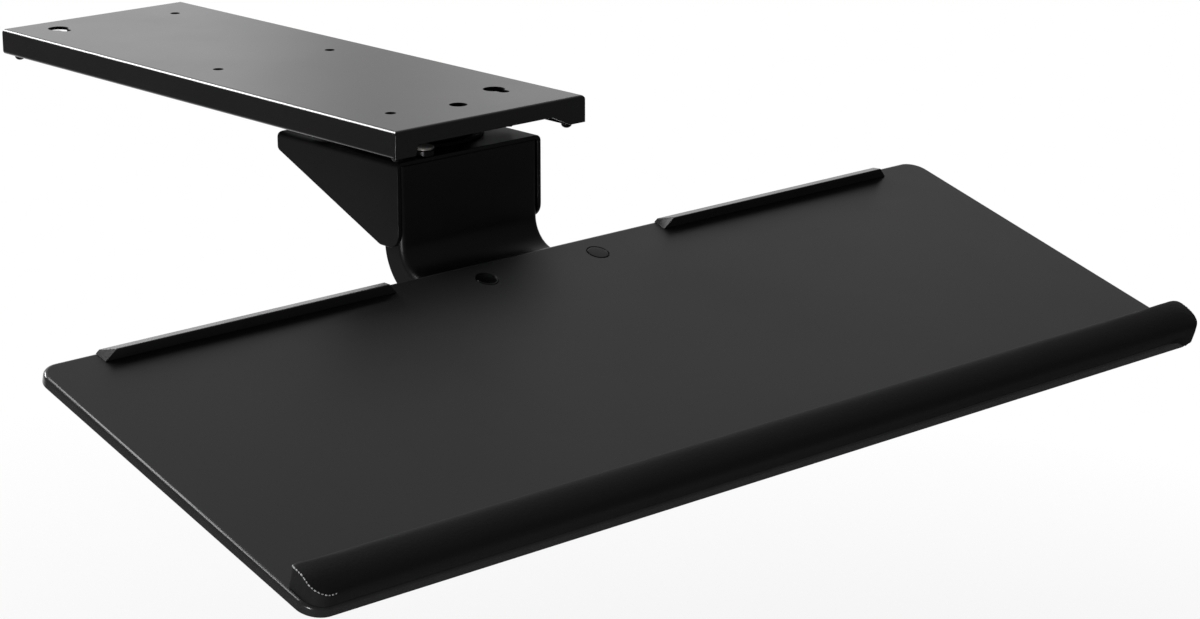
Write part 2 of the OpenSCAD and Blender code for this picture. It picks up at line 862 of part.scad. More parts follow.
module tray_board() {
    color(laminate) on_tray() difference() {
        translate([0, 0, -board_t]) linear_extrude(board_t) board_outline();
        at_tray_bolts() {
            pin(cap_d + 2 * cap_gap, -cap_recess_t, over);
            pin(tray_bore_d, -board_t - over, 0);
        }
        at_plate_screws() pin(wood_bore_d, -board_t - over, plate_screw_tip);
        for (side = [-1, 1]) {
            at_rail_screws(side) pin(wood_bore_d, -board_t - over, over);
        }
        at_rest_screws() pin(wood_bore_d, -board_t - over, over);
    }
}

module tray_bolts() {
    color(zinc) on_tray() at_tray_bolts() {
        pin(tray_head_d, -cap_recess_t, -cap_t);
        pin(tray_bolt_d, plate_under - tray_nut_h, -cap_recess_t);
    }
}

module tray_nuts() {
    color(zinc) on_tray() at_tray_bolts() difference() {
        hexagon(tray_hex_af, plate_under - tray_nut_h, plate_under);
        pin(tray_bore_d, plate_under - tray_nut_h - over, plate_under + over);
    }
}

module cap(side) {
    color(laminate) on_tray() at_tray_bolts([side]) pin(cap_d, -cap_t, 0);
}

module cap_left() { cap(-1); }
module cap_right() { cap(1); }

module bracket_screws() {
    color(zinc) on_tray() at_plate_screws() translate([0, 0, plate_under])
        upward_screw(wood_screw_d, plate_screw_tip - plate_under, wood_head_d, wood_head_h);
}

// Keyboard stop: upright in front, flat on top and sloping away behind, with sloped ends
module back_stop(side) {
    color(deep_black) on_tray() difference() {
        translate([side * rail_mid_x, 0, 0]) intersection() {
            along_x(rail_l) polygon([
                [rail_front, 0], [rail_front, rail_h], [rail_front + rail_top, rail_h],
                [-rail_back_inset, rail_lip], [-rail_back_inset, 0]
            ]);
            along_y(rail_front - over, over) polygon([
                [-rail_l / 2, 0], [rail_l / 2, 0],
                [rail_l / 2 - rail_bevel, rail_h], [-rail_l / 2 + rail_bevel, rail_h]
            ]);
        }
        at_rail_screws(side) pin(wood_bore_d, -over, rail_screw_tip);
    }
}

module back_stop_left() { back_stop(-1); }
module back_stop_right() { back_stop(1); }

module back_stop_screws() {
    color(zinc) on_tray() for (side = [-1, 1]) {
        at_rail_screws(side) translate([0, 0, -board_t])
            upward_screw(wood_screw_d, board_t + rail_screw_tip, wood_head_d, wood_head_h);
    }
}

// Plan of the wrist rest, drawn in from its edge by the given amount
module rest_plan(inset) {
    half_w = rest_half_w - inset;
    front = rest_front + inset;
    front_r = max(rest_front_r - inset, 1);
    intersection() {
        rounded_polygon([
            [-half_w, front, front_r], [half_w, front, front_r],
            [half_w, 0, 0], [-half_w, 0, 0]
        ]);
        translate([-rest_half_w - over, front - over])
            square([rest_w + 2 * over, rest_depth - 2 * inset + over]);
    }
}

// Sides that lean out from a drawn-in lower edge, between a and b
module tucked_sides(a, b) {
    lean = rest_tuck / rest_tuck_h * (rest_top + over);
    polygon([
        [a + rest_tuck, 0], [b - rest_tuck, 0],
        [b - rest_tuck + lean, rest_top + over], [a + rest_tuck - lean, rest_top + over]
    ]);
}

// Crowned section, higher behind, which leans out past the plan's upright edges
module rest_section() {
    intersection() {
        tucked_sides(rest_front, rest_back);
        translate(rest_crown_mid) circle(r = rest_crown_r);
    }
}

module rest_base() {
    color(nylon) on_tray() difference() {
        translate([rest_shift, 0, 0]) linear_extrude(rest_base_t) rest_plan(rest_pad_wall);
        at_rest_screws() pin(wood_bore_d, -over, rest_base_t - 0.5);
    }
}

module rest_pad() {
    color(soft_black) on_tray() translate([rest_shift, 0, 0]) difference() {
        intersection() {
            linear_extrude(rest_top + over) rest_plan(0);
            along_x(rest_w + 2 * over) rest_section();
            along_y(-board_d, 0) tucked_sides(-rest_half_w, rest_half_w);
        }
        translate([0, 0, -over]) linear_extrude(rest_base_t + over) rest_plan(rest_pad_wall - fit_gap);
    }
}

module rest_screws() {
    color(zinc) on_tray() at_rest_screws() translate([0, 0, -board_t])
        upward_screw(wood_screw_d, board_t + rest_base_t - 0.5, wood_head_d, wood_head_h);
}

track();
end_stop_screws();
end_bumpers();
carriage_plate();
glide_front_left();
glide_front_right();
glide_rear_left();
glide_rear_right();
swivel_base();
base_screws();
pivot_bolt();
friction_washer();
disc_spring();
lock_nut();
swivel_bracket();
pivot_bush();
swivel_stop();
arm();
tilt_bolt();
spacer_tube();
tilt_washers();
knob_washer();
tilt_knob();
tray_bracket();
tray_board();
tray_bolts();
tray_nuts();
cap_left();
cap_right();
bracket_screws();
back_stop_left();
back_stop_right();
back_stop_screws();
rest_base();
rest_pad();
rest_screws();
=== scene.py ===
"""Keyboard tray that hangs under a desk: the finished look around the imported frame.

Sizes are in millimetres in the classes and are turned to metres where a mesh is made.
The tray's own frame starts at the middle of the board's top back edge, with -Y to the front.
"""

import json
import logging
import math
import random
from dataclasses import dataclass
from enum import Enum

import bmesh
import bpy
from bmesh.types import BMEdge, BMesh, BMFace, BMVert
from bpy.types import Material, Node, NodeSocket, NodeTree, Object
from mathutils import Matrix, Vector, noise
from mathutils.bvhtree import BVHTree

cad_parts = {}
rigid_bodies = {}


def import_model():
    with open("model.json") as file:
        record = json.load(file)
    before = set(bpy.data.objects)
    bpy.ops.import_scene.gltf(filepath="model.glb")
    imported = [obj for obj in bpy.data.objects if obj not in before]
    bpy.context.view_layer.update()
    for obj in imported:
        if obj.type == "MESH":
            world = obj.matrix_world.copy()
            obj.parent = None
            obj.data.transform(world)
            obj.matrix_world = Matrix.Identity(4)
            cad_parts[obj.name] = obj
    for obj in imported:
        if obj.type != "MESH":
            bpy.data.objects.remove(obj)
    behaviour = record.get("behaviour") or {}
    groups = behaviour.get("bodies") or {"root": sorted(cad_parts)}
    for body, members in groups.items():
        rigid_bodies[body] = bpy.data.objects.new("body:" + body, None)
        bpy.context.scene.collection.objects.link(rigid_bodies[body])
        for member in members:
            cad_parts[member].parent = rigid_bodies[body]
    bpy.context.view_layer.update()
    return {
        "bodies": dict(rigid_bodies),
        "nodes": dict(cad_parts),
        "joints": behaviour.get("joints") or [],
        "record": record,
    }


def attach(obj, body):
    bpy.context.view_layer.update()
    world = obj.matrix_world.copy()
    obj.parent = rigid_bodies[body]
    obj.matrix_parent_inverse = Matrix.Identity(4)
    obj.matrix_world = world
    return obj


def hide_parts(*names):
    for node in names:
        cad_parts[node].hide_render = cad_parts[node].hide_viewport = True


LOG = logging.getLogger("keyboard_tray")
MM = 0.001
# Points closer than this, in metres, are one point.
SAME_SPOT = 0.001 * MM
# A point this close to a line, in millimetres, is on it.
ON_LINE = 0.01
# What every bevel shares.
BEVEL = {"profile": 0.5, "clamp_overlap": False, "material": -1}
# Sockets of the Mix node when it mixes colours.
MIX_A, MIX_B, MIX_RESULT = 6, 7, 2
# Most values of a noise texture lie between these two.
NOISE_SPAN = (0.3, 0.7)
WHITE = "#ffffff"

Pair = tuple[float, float]
Point = tuple[float, float, float]


class Body(str, Enum):
    """The rigid bodies that a piece can move with."""

    TRACK = "track"
    CARRIAGE = "carriage"
    ARM = "arm"
    KNOB = "knob"
    TRAY = "tray"


class Slot(str, Enum):
    """The record's material slots."""

    TRACK_STEEL = "track_steel"
    BLACK_STEEL = "black_steel"
    ZINC_STEEL = "zinc_steel"
    NYLON = "nylon"
    BLACK_PLASTIC = "black_plastic"
    RUBBER = "bumper_rubber"
    BOARD = "board_laminate"
    LEATHERETTE = "leatherette"


def linear(hex_colour: str) -> tuple[float, float, float, float]:
    """Turns an sRGB hex colour into linear RGBA.

    Args:
        hex_colour: Colour such as "#1c1c1e".

    Returns:
        The four linear channels.
    """
    parts = [int(hex_colour[i : i + 2], 16) / 255 for i in (1, 3, 5)]
    red, green, blue = (c / 12.92 if c <= 0.04045 else ((c + 0.055) / 1.055) ** 2.4 for c in parts)
    return red, green, blue, 1.0


def add_node(
    tree: NodeTree, kind: str, settings: dict | None = None, *inputs: object, **links: NodeSocket
) -> Node:
    """Adds one shader node.

    Args:
        tree: Node tree that gets the node.
        kind: Node type, such as "ShaderNodeTexNoise".
        settings: Properties by attribute name, and input values by socket name.
        inputs: Output sockets to join, or plain values, for its inputs in order.
        links: Output sockets to join, by input name.

    Returns:
        The new node.
    """
    node = tree.nodes.new(kind)
    for name, value in (settings or {}).items():
        if name in node.inputs:
            node.inputs[name].default_value = value
        else:
            setattr(node, name, value)
    for place, source in zip(node.inputs, inputs):
        if isinstance(source, NodeSocket):
            tree.links.new(source, place)
        else:
            place.default_value = source
    for name, source in links.items():
        tree.links.new(source, node.inputs[name])
    return node


def ramp(source: Pair, result: Pair) -> dict[str, float]:
    """Returns the settings of a Map Range node that takes one span of values to another."""
    return dict(zip(("From Min", "From Max", "To Min", "To Max"), (*source, *result)))


@dataclass(frozen=True)
class Finish:
    """A surface finish: what every finish here shares.

    The two colours are the ends of its faint mottling, and the grain is its fine relief.
    """

    name: str
    dark: str
    light: str
    roughness: float
    roughness_spread: float = 0.05
    mottle_mm: float = 60.0
    grain_mm: float = 1.5
    relief_mm: float = 0.03
    metallic: float = 0.0
    specular: float = 0.5

    def material(self) -> Material:
        """Returns the finish's material, made on first use."""
        made = bpy.data.materials.get(self.name)
        if made:
            return made
        made = bpy.data.materials.new(self.name)
        made.use_nodes = True
        tree = made.node_tree
        shader = tree.nodes["Principled BSDF"]
        shader.inputs["Metallic"].default_value = self.metallic
        shader.inputs["Specular IOR Level"].default_value = self.specular
        place = add_node(tree, "ShaderNodeTexCoord").outputs["Object"]
        self.colour(tree, shader, place)
        self.relief(tree, shader, place)
        return made

    def colour(self, tree: NodeTree, shader: Node, place: NodeSocket) -> None:
        """Mottles the colour and the roughness over the surface.

        Args:
            tree: The material's nodes.
            shader: Its Principled node.
            place: Object coordinates.
        """
        spots = {"Scale": 1 / (self.mottle_mm * MM), "Detail": 4.0, "Roughness": 0.6}
        mottle = add_node(tree, "ShaderNodeTexNoise", spots, Vector=place).outputs["Fac"]
        tint = add_node(tree, "ShaderNodeMix", {"data_type": "RGBA"}, mottle)
        tint.inputs[MIX_A].default_value = linear(self.dark)
        tint.inputs[MIX_B].default_value = linear(self.light)
        tree.links.new(tint.outputs[MIX_RESULT], shader.inputs["Base Color"])
        ends = (self.roughness - self.roughness_spread, self.roughness + self.roughness_spread)
        gloss = add_node(tree, "ShaderNodeMapRange", ramp(NOISE_SPAN, ends), mottle)
        tree.links.new(gloss.outputs["Result"], shader.inputs["Roughness"])

    def relief(self, tree: NodeTree, shader: Node, place: NodeSocket) -> None:
        """Gives the surface its fine grain.

        Args:
            tree: The material's nodes.
            shader: Its Principled node.
            place: Object coordinates.
        """
        grit = {"Scale": 1 / (self.grain_mm * MM), "Detail": 2.0, "Roughness": 0.5}
        grain = add_node(tree, "ShaderNodeTexNoise", grit, Vector=place)
        depth = {"Strength": 0.5, "Distance": self.relief_mm * MM}
        bump = add_node(tree, "ShaderNodeBump", depth, Height=grain.outputs["Fac"])
        tree.links.new(bump.outputs["Normal"], shader.inputs["Normal"])


@dataclass(frozen=True)
class Hide(Finish):
    """Embossed leatherette: rounded cells with fine creases between them.

    A coarser noise bends the rows of cells. Its scale and reach are shares of a cell's own.
    """

    bend_scale: float = 0.4
    bend_reach: float = 0.7

    def relief(self, tree: NodeTree, shader: Node, place: NodeSocket) -> None:
        """Gives the surface its cells and creases.

        Args:
            tree: The material's nodes.
            shader: Its Principled node.
            place: Object coordinates.
        """
        cell = self.grain_mm * MM
        swirl = {"Scale": self.bend_scale / cell, "Detail": 2.0}
        warp = add_node(tree, "ShaderNodeTexNoise", swirl, Vector=place)
        bend = add_node(
            tree,
            "ShaderNodeVectorMath",
            {"operation": "MULTIPLY_ADD"},
            warp.outputs["Color"],
            (self.bend_reach * cell,) * 3,
            place,
        )
        grid = {"feature": "SMOOTH_F1", "Scale": 1 / cell, "Smoothness": 0.35}
        cells = add_node(tree, "ShaderNodeTexVoronoi", grid, Vector=bend.outputs["Vector"])
        depth = {"invert": True, "Strength": 0.6, "Distance": self.relief_mm * MM}
        bump = add_node(tree, "ShaderNodeBump", depth, Height=cells.outputs["Distance"])
        tree.links.new(bump.outputs["Normal"], shader.inputs["Normal"])


# Satin black powder coat on folded steel: a soft sheen with a faint orange peel.
TRACK_COAT = Finish("powder_coated_steel", "#101011", "#141416", 0.2, 0.03, 110.0, 1.8, 0.012)
# Walls of the holes punched in the coated sheet, as good as black: painted shade inside the holes.
PAINTED_HOLE_SHADE = Finish(
    "punched_edge_painted_shade", "#030304", "#060607", 0.7, 0.05, 10.0, 0.8, 0.01, specular=0.1
)
# Baked enamel of the arm: deeper black than the track's coat, and duller.
ARM_COAT = Finish(
    "black_baked_enamel_on_steel", "#0a0a0c", "#0e0e11", 0.4, 0.03, 40.0, 1.4, 0.02, specular=0.3
)
# High-pressure laminate with a pebbled press-plate texture: satin, its grain drawn coarse
# enough to show.
BOARD_LAMINATE = Finish(
    "pebbled_black_laminate", "#141415", "#1a1a1b", 0.33, 0.03, 90.0, 0.9, 0.03, specular=0.25
)
# Trimmed and oiled edge of the laminate board: smoother than its face, so that its rim draws
# a thin line of light. Its colour is painted lighter than the face: a painted highlight on the rim.
BOARD_EDGE_AND_RIM_HIGHLIGHT = Finish("laminate_edge_painted_rim_highlight", "#202021", "#2a2a2b", 0.2, 0.03, 25.0, 0.8, 0.002)
# Injection-moulded ABS with a spark-eroded skin: dark grey with a low sheen.
MOULDED_ABS = Finish("moulded_black_abs", "#262627", "#2e2e2f", 0.25, 0.03, 30.0, 0.7, 0.012)
# ABS out of a polished mould, on the round covers: smoother than the board, but a dim mirror.
POLISHED_ABS = Finish(
    "polished_black_abs", "#060607", "#0a0a0b", 0.14, 0.03, 12.0, 2.0, 0.004, specular=0.12
)
# Glass-filled nylon: duller than the ABS, with a slight bloom.
NYLON = Finish("glass_filled_nylon", "#141416", "#1b1b1d", 0.55, 0.05, 18.0, 0.9, 0.02)
# Nylon of the swivel, as good as black: painted shade for its dark gap under the track.
GAP_SHADE_NYLON = Finish(
    "black_nylon_painted_gap_shade", "#050506", "#08080a", 0.5, 0.05, 18.0, 0.9, 0.02, specular=0.2
)
# Bright zinc plating on turned and pressed steel: silvery, with a dull passivated bloom.
ZINC = Finish("zinc_plated_steel", "#8c8f92", "#a3a6a8", 0.34, 0.08, 8.0, 0.5, 0.01, metallic=1.0)
# Satin nickel plate on the swivel's stop pin: pale and dull, so that it shows in its dark gap.
NICKEL = Finish(
    "satin_nickel_plated_steel", "#a4a29c", "#b2b0aa", 0.55, 0.05, 5.0, 0.5, 0.005, metallic=0.7
)
# Black-oxide steel of the stop screws and the pin's collar: only a dark gleam.
BLACK_OXIDE = Finish(
    "black_oxide_steel", "#1c1c1e", "#2a2a2c", 0.3, 0.06, 6.0, 0.6, 0.01, metallic=0.8
)
# Moulded rubber: no gloss at all.
RUBBER = Finish("moulded_rubber", "#111111", "#181818", 0.8, 0.05, 6.0, 0.6, 0.02)
# Bonded polyester thread, lighter than what it sews: its pale colour is a painted glint,
# so that single stitches show as bright points.
THREAD_AND_PAINTED_GLINT = Finish("grey_thread_painted_glint", "#8a8a8c", "#c8c8ca", 0.4, 0.05, 3.0, 0.4, 0.02)
# Soft leatherette, embossed with a fine hide grain: dull and dark.
LEATHERETTE = Hide(
    "embossed_black_leatherette", "#171718", "#1e1e1f", 0.7, 0.05, 45.0, 1.3, 0.12, specular=0.16
)


def put(bm: BMesh, name: str) -> Object:
    """Turns a mesh into a new object of the scene.

    Args:
        bm: The mesh, which is freed.
        name: Name of the object and its mesh.

    Returns:
        The new object.
    """
    mesh = bpy.data.meshes.new(name)
    bm.to_mesh(mesh)
    bm.free()
    made = bpy.data.objects.new(name, mesh)
    bpy.context.scene.collection.objects.link(made)
    return made


def discard(scratch: Object) -> None:
    """Removes a scratch object and its mesh."""
    mesh = scratch.data
    bpy.data.objects.remove(scratch)
    bpy.data.meshes.remove(mesh)


def piece(
    bm: BMesh,
    name: str,
    body: Body,
    finish: Finish,
    replaced: tuple[str, ...] = (),
    crease: float = 35.0,
    trim: Finish | None = None,
) -> Object:
    """Turns a mesh in metres, already in place, into a finished piece.

    Args:
        bm: The mesh, which is freed.
        name: Name of the piece.
        body: Body that it moves with.
        finish: Its finish.
        replaced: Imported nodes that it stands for.
        crease: Angle in degrees above which an edge stays sharp.
        trim: Finish of the faces whose material index is 1.

    Returns:
        The new object.
    """
    made = put(bm, name)
    mesh = made.data
    mesh.shade_smooth()
    mesh.set_sharp_from_angle(angle=math.radians(crease))
    mesh.materials.append(finish.material())
    if trim:
        mesh.materials.append(trim.material())
    flat = made.modifiers.new("flat_faces_stay_flat", "WEIGHTED_NORMAL")
    flat.keep_sharp = True
    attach(made, body.value)
    for node in replaced:
        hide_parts(node)
    LOG.info("%s: %d faces", name, len(mesh.polygons))
    return made


def ease(bm: BMesh, edges: list[BMEdge], radius_mm: float, segments: int = 2) -> None:
    """Rounds edges of a mesh in metres.

    Args:
        bm: The mesh.
        edges: Edges to round.
        radius_mm: Radius of the rounding.
        segments: Steps across it.
    """
    bmesh.ops.bevel(
        bm, geom=edges, offset=radius_mm * MM, segments=segments, affect="EDGES", **BEVEL
    )
    bmesh.ops.remove_doubles(bm, verts=bm.verts, dist=SAME_SPOT)


def sharp_edges(bm: BMesh, crease: float = 28.0) -> list[BMEdge]:
    """Returns the edges of a mesh that turn by more than the crease angle, in degrees."""
    return [e for e in bm.edges if e.is_manifold and e.calc_face_angle() > math.radians(crease)]


def merged_copy(node: Object, gap_mm: float = 0.002, flat_deg: float = 0.6) -> BMesh:
    """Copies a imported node's mesh, with its loose triangles merged to flat faces.

    Args:
        node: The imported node's object.
        gap_mm: Points closer than this are merged.
        flat_deg: Faces that turn by less than this are merged.

    Returns:
        The copy, in place.
    """
    bm = bmesh.new()
    bm.from_mesh(node.data)
    bmesh.ops.remove_doubles(bm, verts=bm.verts, dist=gap_mm * MM)
    limit = math.radians(flat_deg)
    bmesh.ops.dissolve_limit(bm, angle_limit=limit, verts=bm.verts, edges=bm.edges)
    return bm


def dome(radius: float, base: float, rise: float, step_deg: int) -> list[Pair]:
    """Returns half of a dome's section for the lathe, from its rim to short of its top.

    Args:
        radius: The dome's radius.
        base: Height of its rim.
        rise: Height from its rim to its top.
        step_deg: Step along the curve.

    Returns:
        Points (radius, height).
    """
    turns = [math.radians(a) for a in range(0, 90, step_deg)]
    return [(radius * math.cos(a), base + rise * math.sin(a)) for a in turns]


def lathe(profile_mm: list[Pair], steps: int) -> BMesh:
    """Turns a closed solid about Z from half of its section.

    Args:
        profile_mm: Points (radius, height) from the axis out and back to the axis.
        steps: Steps round the axis.

    Returns:
        The turned mesh, in metres.
    """
    bm = bmesh.new()
    verts = [bm.verts.new((r * MM, 0, z * MM)) for r, z in profile_mm]
    edges = [bm.edges.new(pair) for pair in zip(verts, verts[1:])]
    bmesh.ops.spin(
        bm,
        geom=verts + edges,
        cent=(0, 0, 0),
        axis=(0, 0, 1),
        angle=math.tau,
        steps=steps,
        use_merge=True,
    )
    bmesh.ops.remove_doubles(bm, verts=bm.verts, dist=SAME_SPOT)
    bmesh.ops.recalc_face_normals(bm, faces=bm.faces)
    return bm


def carve(bm: BMesh, cutter: BMesh) -> BMesh:
    """Cuts one closed mesh out of another.

    Args:
        bm: The mesh to cut, which is freed.
        cutter: The mesh to take away, which is freed.

    Returns:
        What is left.
    """
    block, tool = put(bm, "carving"), put(cutter, "carving")
    cut = block.modifiers.new("cut", "BOOLEAN")
    cut.operation = "DIFFERENCE"
    cut.solver = "EXACT"
    cut.use_self = True
    cut.object = tool
    left = bmesh.new()
    left.from_object(block, bpy.context.evaluated_depsgraph_get())
    bmesh.ops.remove_doubles(left, verts=left.verts, dist=SAME_SPOT)
    for scratch in (block, tool):
        discard(scratch)
    return left


def copies(bm: BMesh, places: list[Matrix]) -> BMesh:
    """Repeats a mesh.

    Args:
        bm: The mesh to repeat, which is freed.
        places: Where each copy stands.

    Returns:
        One mesh with all the copies.
    """
    mesh = bpy.data.meshes.new("copied")
    bm.to_mesh(mesh)
    bm.free()
    joined = bmesh.new()
    for place in places:
        known = set(joined.verts)
        joined.from_mesh(mesh)
        fresh = [v for v in joined.verts if v not in known]
        bmesh.ops.transform(joined, matrix=place, verts=fresh)
    bpy.data.meshes.remove(mesh)
    return joined


def extruded(bm: BMesh, edges: list[BMEdge]) -> tuple[list[BMVert], list[BMEdge]]:
    """Extrudes a loop of edges without moving it.

    Args:
        bm: The mesh.
        edges: The loop.

    Returns:
        The new loop's vertices and its edges.
    """
    grown = bmesh.ops.extrude_edge_only(bm, edges=edges)["geom"]
    verts = [g for g in grown if isinstance(g, BMVert)]
    known = set(verts)
    return verts, [g for g in grown if isinstance(g, BMEdge) and known.issuperset(g.verts)]


def settled(bm: BMesh) -> BMesh:
    """Puts a mesh's points, edges and faces in one order, so that its cloth moves alike each run.

    Args:
        bm: The mesh, which is freed.

    Returns:
        The same mesh in order.
    """
    for index, v in enumerate(sorted(bm.verts, key=lambda v: tuple(v.co))):
        v.index = index
    for parts in (bm.edges, bm.faces):
        in_order = sorted(parts, key=lambda p: sorted(v.index for v in p.verts))
        for index, part in enumerate(in_order):
            part.index = index
    for parts in (bm.verts, bm.edges, bm.faces):
        parts.sort()
    scratch = put(bm, "settling")
    result = bmesh.new()
    result.from_mesh(scratch.data)
    discard(scratch)
    return result


@dataclass(frozen=True)
class PanScrew:
    """A pan-head screw with a cross recess, its head below z = 0 and its shank above.

    The rim and the recess are shares of the head's size.
    """

    shank_d: float
    shank_l: float
    head_d: float
    head_h: float
    rim: float = 0.3
    recess: Point = (0.62, 0.13, 1.5)
    recess_floor: Point = (0.35, 0.7, 1.0)
    recess_mid: float = 1.1
    steps: int = 24
    dome_deg: int = 15

    def mesh(self) -> BMesh:
        """Returns one screw, in metres, with its head's seat at the origin."""
        r, h, length = self.head_d / 2, self.head_h, self.shank_l
        neck = self.shank_d / 2
        head = dome(r, -self.rim * h, (self.rim - 1) * h, self.dome_deg)
        shank = [(0, length), (neck, length), (neck, 0)]
        return carve(lathe([*shank, (r, 0), *head, (0, -h)], self.steps), self.cross())

    def cross(self) -> BMesh:
        """Returns the tapered cross that the driver fits."""
        long, narrow, deep = self.recess
        size = Vector((long * self.head_d, narrow * self.head_d, deep * self.head_h))
        bm = bmesh.new()
        for turn in (0.0, math.pi / 2):
            arm = bmesh.ops.create_cube(bm, size=1.0)["verts"]
            bmesh.ops.scale(bm, vec=size * MM, verts=arm)
            floor = [v for v in arm if v.co.z > 0]
            bmesh.ops.scale(bm, vec=self.recess_floor, verts=floor)
            bmesh.ops.rotate(bm, cent=(0, 0, 0), matrix=Matrix.Rotation(turn, 3, "Z"), verts=arm)
            bmesh.ops.translate(bm, vec=(0, 0, -self.recess_mid * self.head_h * MM), verts=arm)
        return bm


@dataclass
class SubAssembly:
    """What every sub-assembly shares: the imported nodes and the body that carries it."""

    nodes: dict[str, Object]
    body: Body

    def ease_node(
        self,
        name: str,
        finish: Finish,
        slot: Slot,
        edge_mm: float,
        segments: int = 2,
        nudge_mm: float = 0.0,
    ) -> None:
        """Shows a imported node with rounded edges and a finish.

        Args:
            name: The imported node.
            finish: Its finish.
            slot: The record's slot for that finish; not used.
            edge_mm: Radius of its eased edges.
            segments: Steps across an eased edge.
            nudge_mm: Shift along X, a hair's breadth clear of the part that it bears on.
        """
        bm = merged_copy(self.nodes[name])
        ease(bm, sharp_edges(bm), edge_mm, segments)
        bmesh.ops.translate(bm, vec=(nudge_mm * MM, 0, 0), verts=bm.verts)
        piece(bm, f"{name}_eased", self.body, finish, (name,))

    def dress_node(self, name: str, finish: Finish) -> None:
        """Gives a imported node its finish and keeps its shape."""
        mesh = self.nodes[name].data
        mesh.materials.clear()
        mesh.materials.append(finish.material())

    def pan_screws(
        self, held: str, screw: PanScrew, places: list[Matrix], finish: Finish = ZINC
    ) -> None:
        """Builds a set of pan-head screws.

        Args:
            held: What they hold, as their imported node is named.
            screw: One of them.
            places: Where their heads' seats are.
            finish: Their finish.
        """
        bm = copies(screw.mesh(), places)
        name = f"{held}_pan_screws"
        piece(bm, name, self.body, finish, (f"{held}_screws",))


@dataclass
class MountingTrack(SubAssembly):
    """The folded steel track and its end stops."""

    height: float = 16.0
    half_w: float = 70.5
    bend_r: float = 2.4
    front_inside: float = -197.0
    screw_x: float = 63.0
    screw_y: float = 191.0
    edge_r: float = 0.3
    sheet_t: float = 1.5
    level_cos: float = 0.95
    screw: PanScrew = PanScrew(4.0, 12.5, 6.4, 3.6)

    def build(self) -> None:
        """Builds the track, its stop screws and their bumpers."""
        self.channel()
        self.ease_node("end_bumpers", RUBBER, Slot.RUBBER, 0.5)
        sides, ends = (-self.screw_x, self.screw_x), (-self.screw_y, self.screw_y)
        spots = [Vector((x, y, -self.height)) for x in sides for y in ends]
        places = [Matrix.Translation(spot * MM) for spot in spots]
        self.pan_screws("end_stop", self.screw, places, BLACK_OXIDE)

    def channel(self) -> None:
        """Shows the folded channel with eased edges, except inside the square front corners."""
        bm = merged_copy(self.nodes["track"])
        ease(bm, [e for e in sharp_edges(bm) if not self.is_corner_step(e)], self.edge_r)
        # The holes' walls take the near-black finish, which paints the shade inside the holes.
        for face in bm.faces:
            face.material_index = int(self.is_punched(face))
        piece(bm, "track_channel", self.body, TRACK_COAT, ("track",), trim=PAINTED_HOLE_SHADE)

    def is_punched(self, face: BMFace) -> bool:
        """Tells whether a face is the wall or the eased edge of a hole in the channel's top."""
        spot = face.calc_center_median() / MM
        within_x = abs(spot.x) < self.half_w - 2 * self.bend_r
        within_y = abs(spot.y) < -self.front_inside - self.bend_r
        level = abs(face.normal.z) >= self.level_cos
        return within_x and within_y and spot.z > -self.sheet_t and not level

    def is_corner_step(self, edge: BMEdge) -> bool:
        """Tells whether an edge is where a front corner stands out past the side's lower bend."""
        spots = [v.co / MM for v in edge.verts]
        in_line = all(abs(spot.y - self.front_inside) < ON_LINE for spot in spots)
        return in_line and all(abs(s.x) > self.half_w - self.bend_r - ON_LINE for s in spots)


@dataclass
class SlideCarriage(SubAssembly):
    """The carriage in the track, with the swivel's fixed half."""

    def build(self) -> None:
        """Builds the plate, the glides and the pivot stack."""
        self.ease_node("carriage_plate", ZINC, Slot.ZINC_STEEL, 0.3)
        for end in ("front", "rear"):
            for side in ("left", "right"):
                self.ease_node(f"glide_{end}_{side}", NYLON, Slot.NYLON, 0.25)
        # The swivel base takes the near-black nylon, painted shade for its gap under the track.
        self.ease_node("swivel_base", GAP_SHADE_NYLON, Slot.NYLON, 0.6, 3)
        self.ease_node("friction_washer", NYLON, Slot.NYLON, 0.3)
        for name in ("lock_nut", "pivot_bolt"):
            self.ease_node(name, ZINC, Slot.ZINC_STEEL, 0.5, 3)
        for name in ("base_screws", "disc_spring"):
            self.dress_node(name, ZINC)


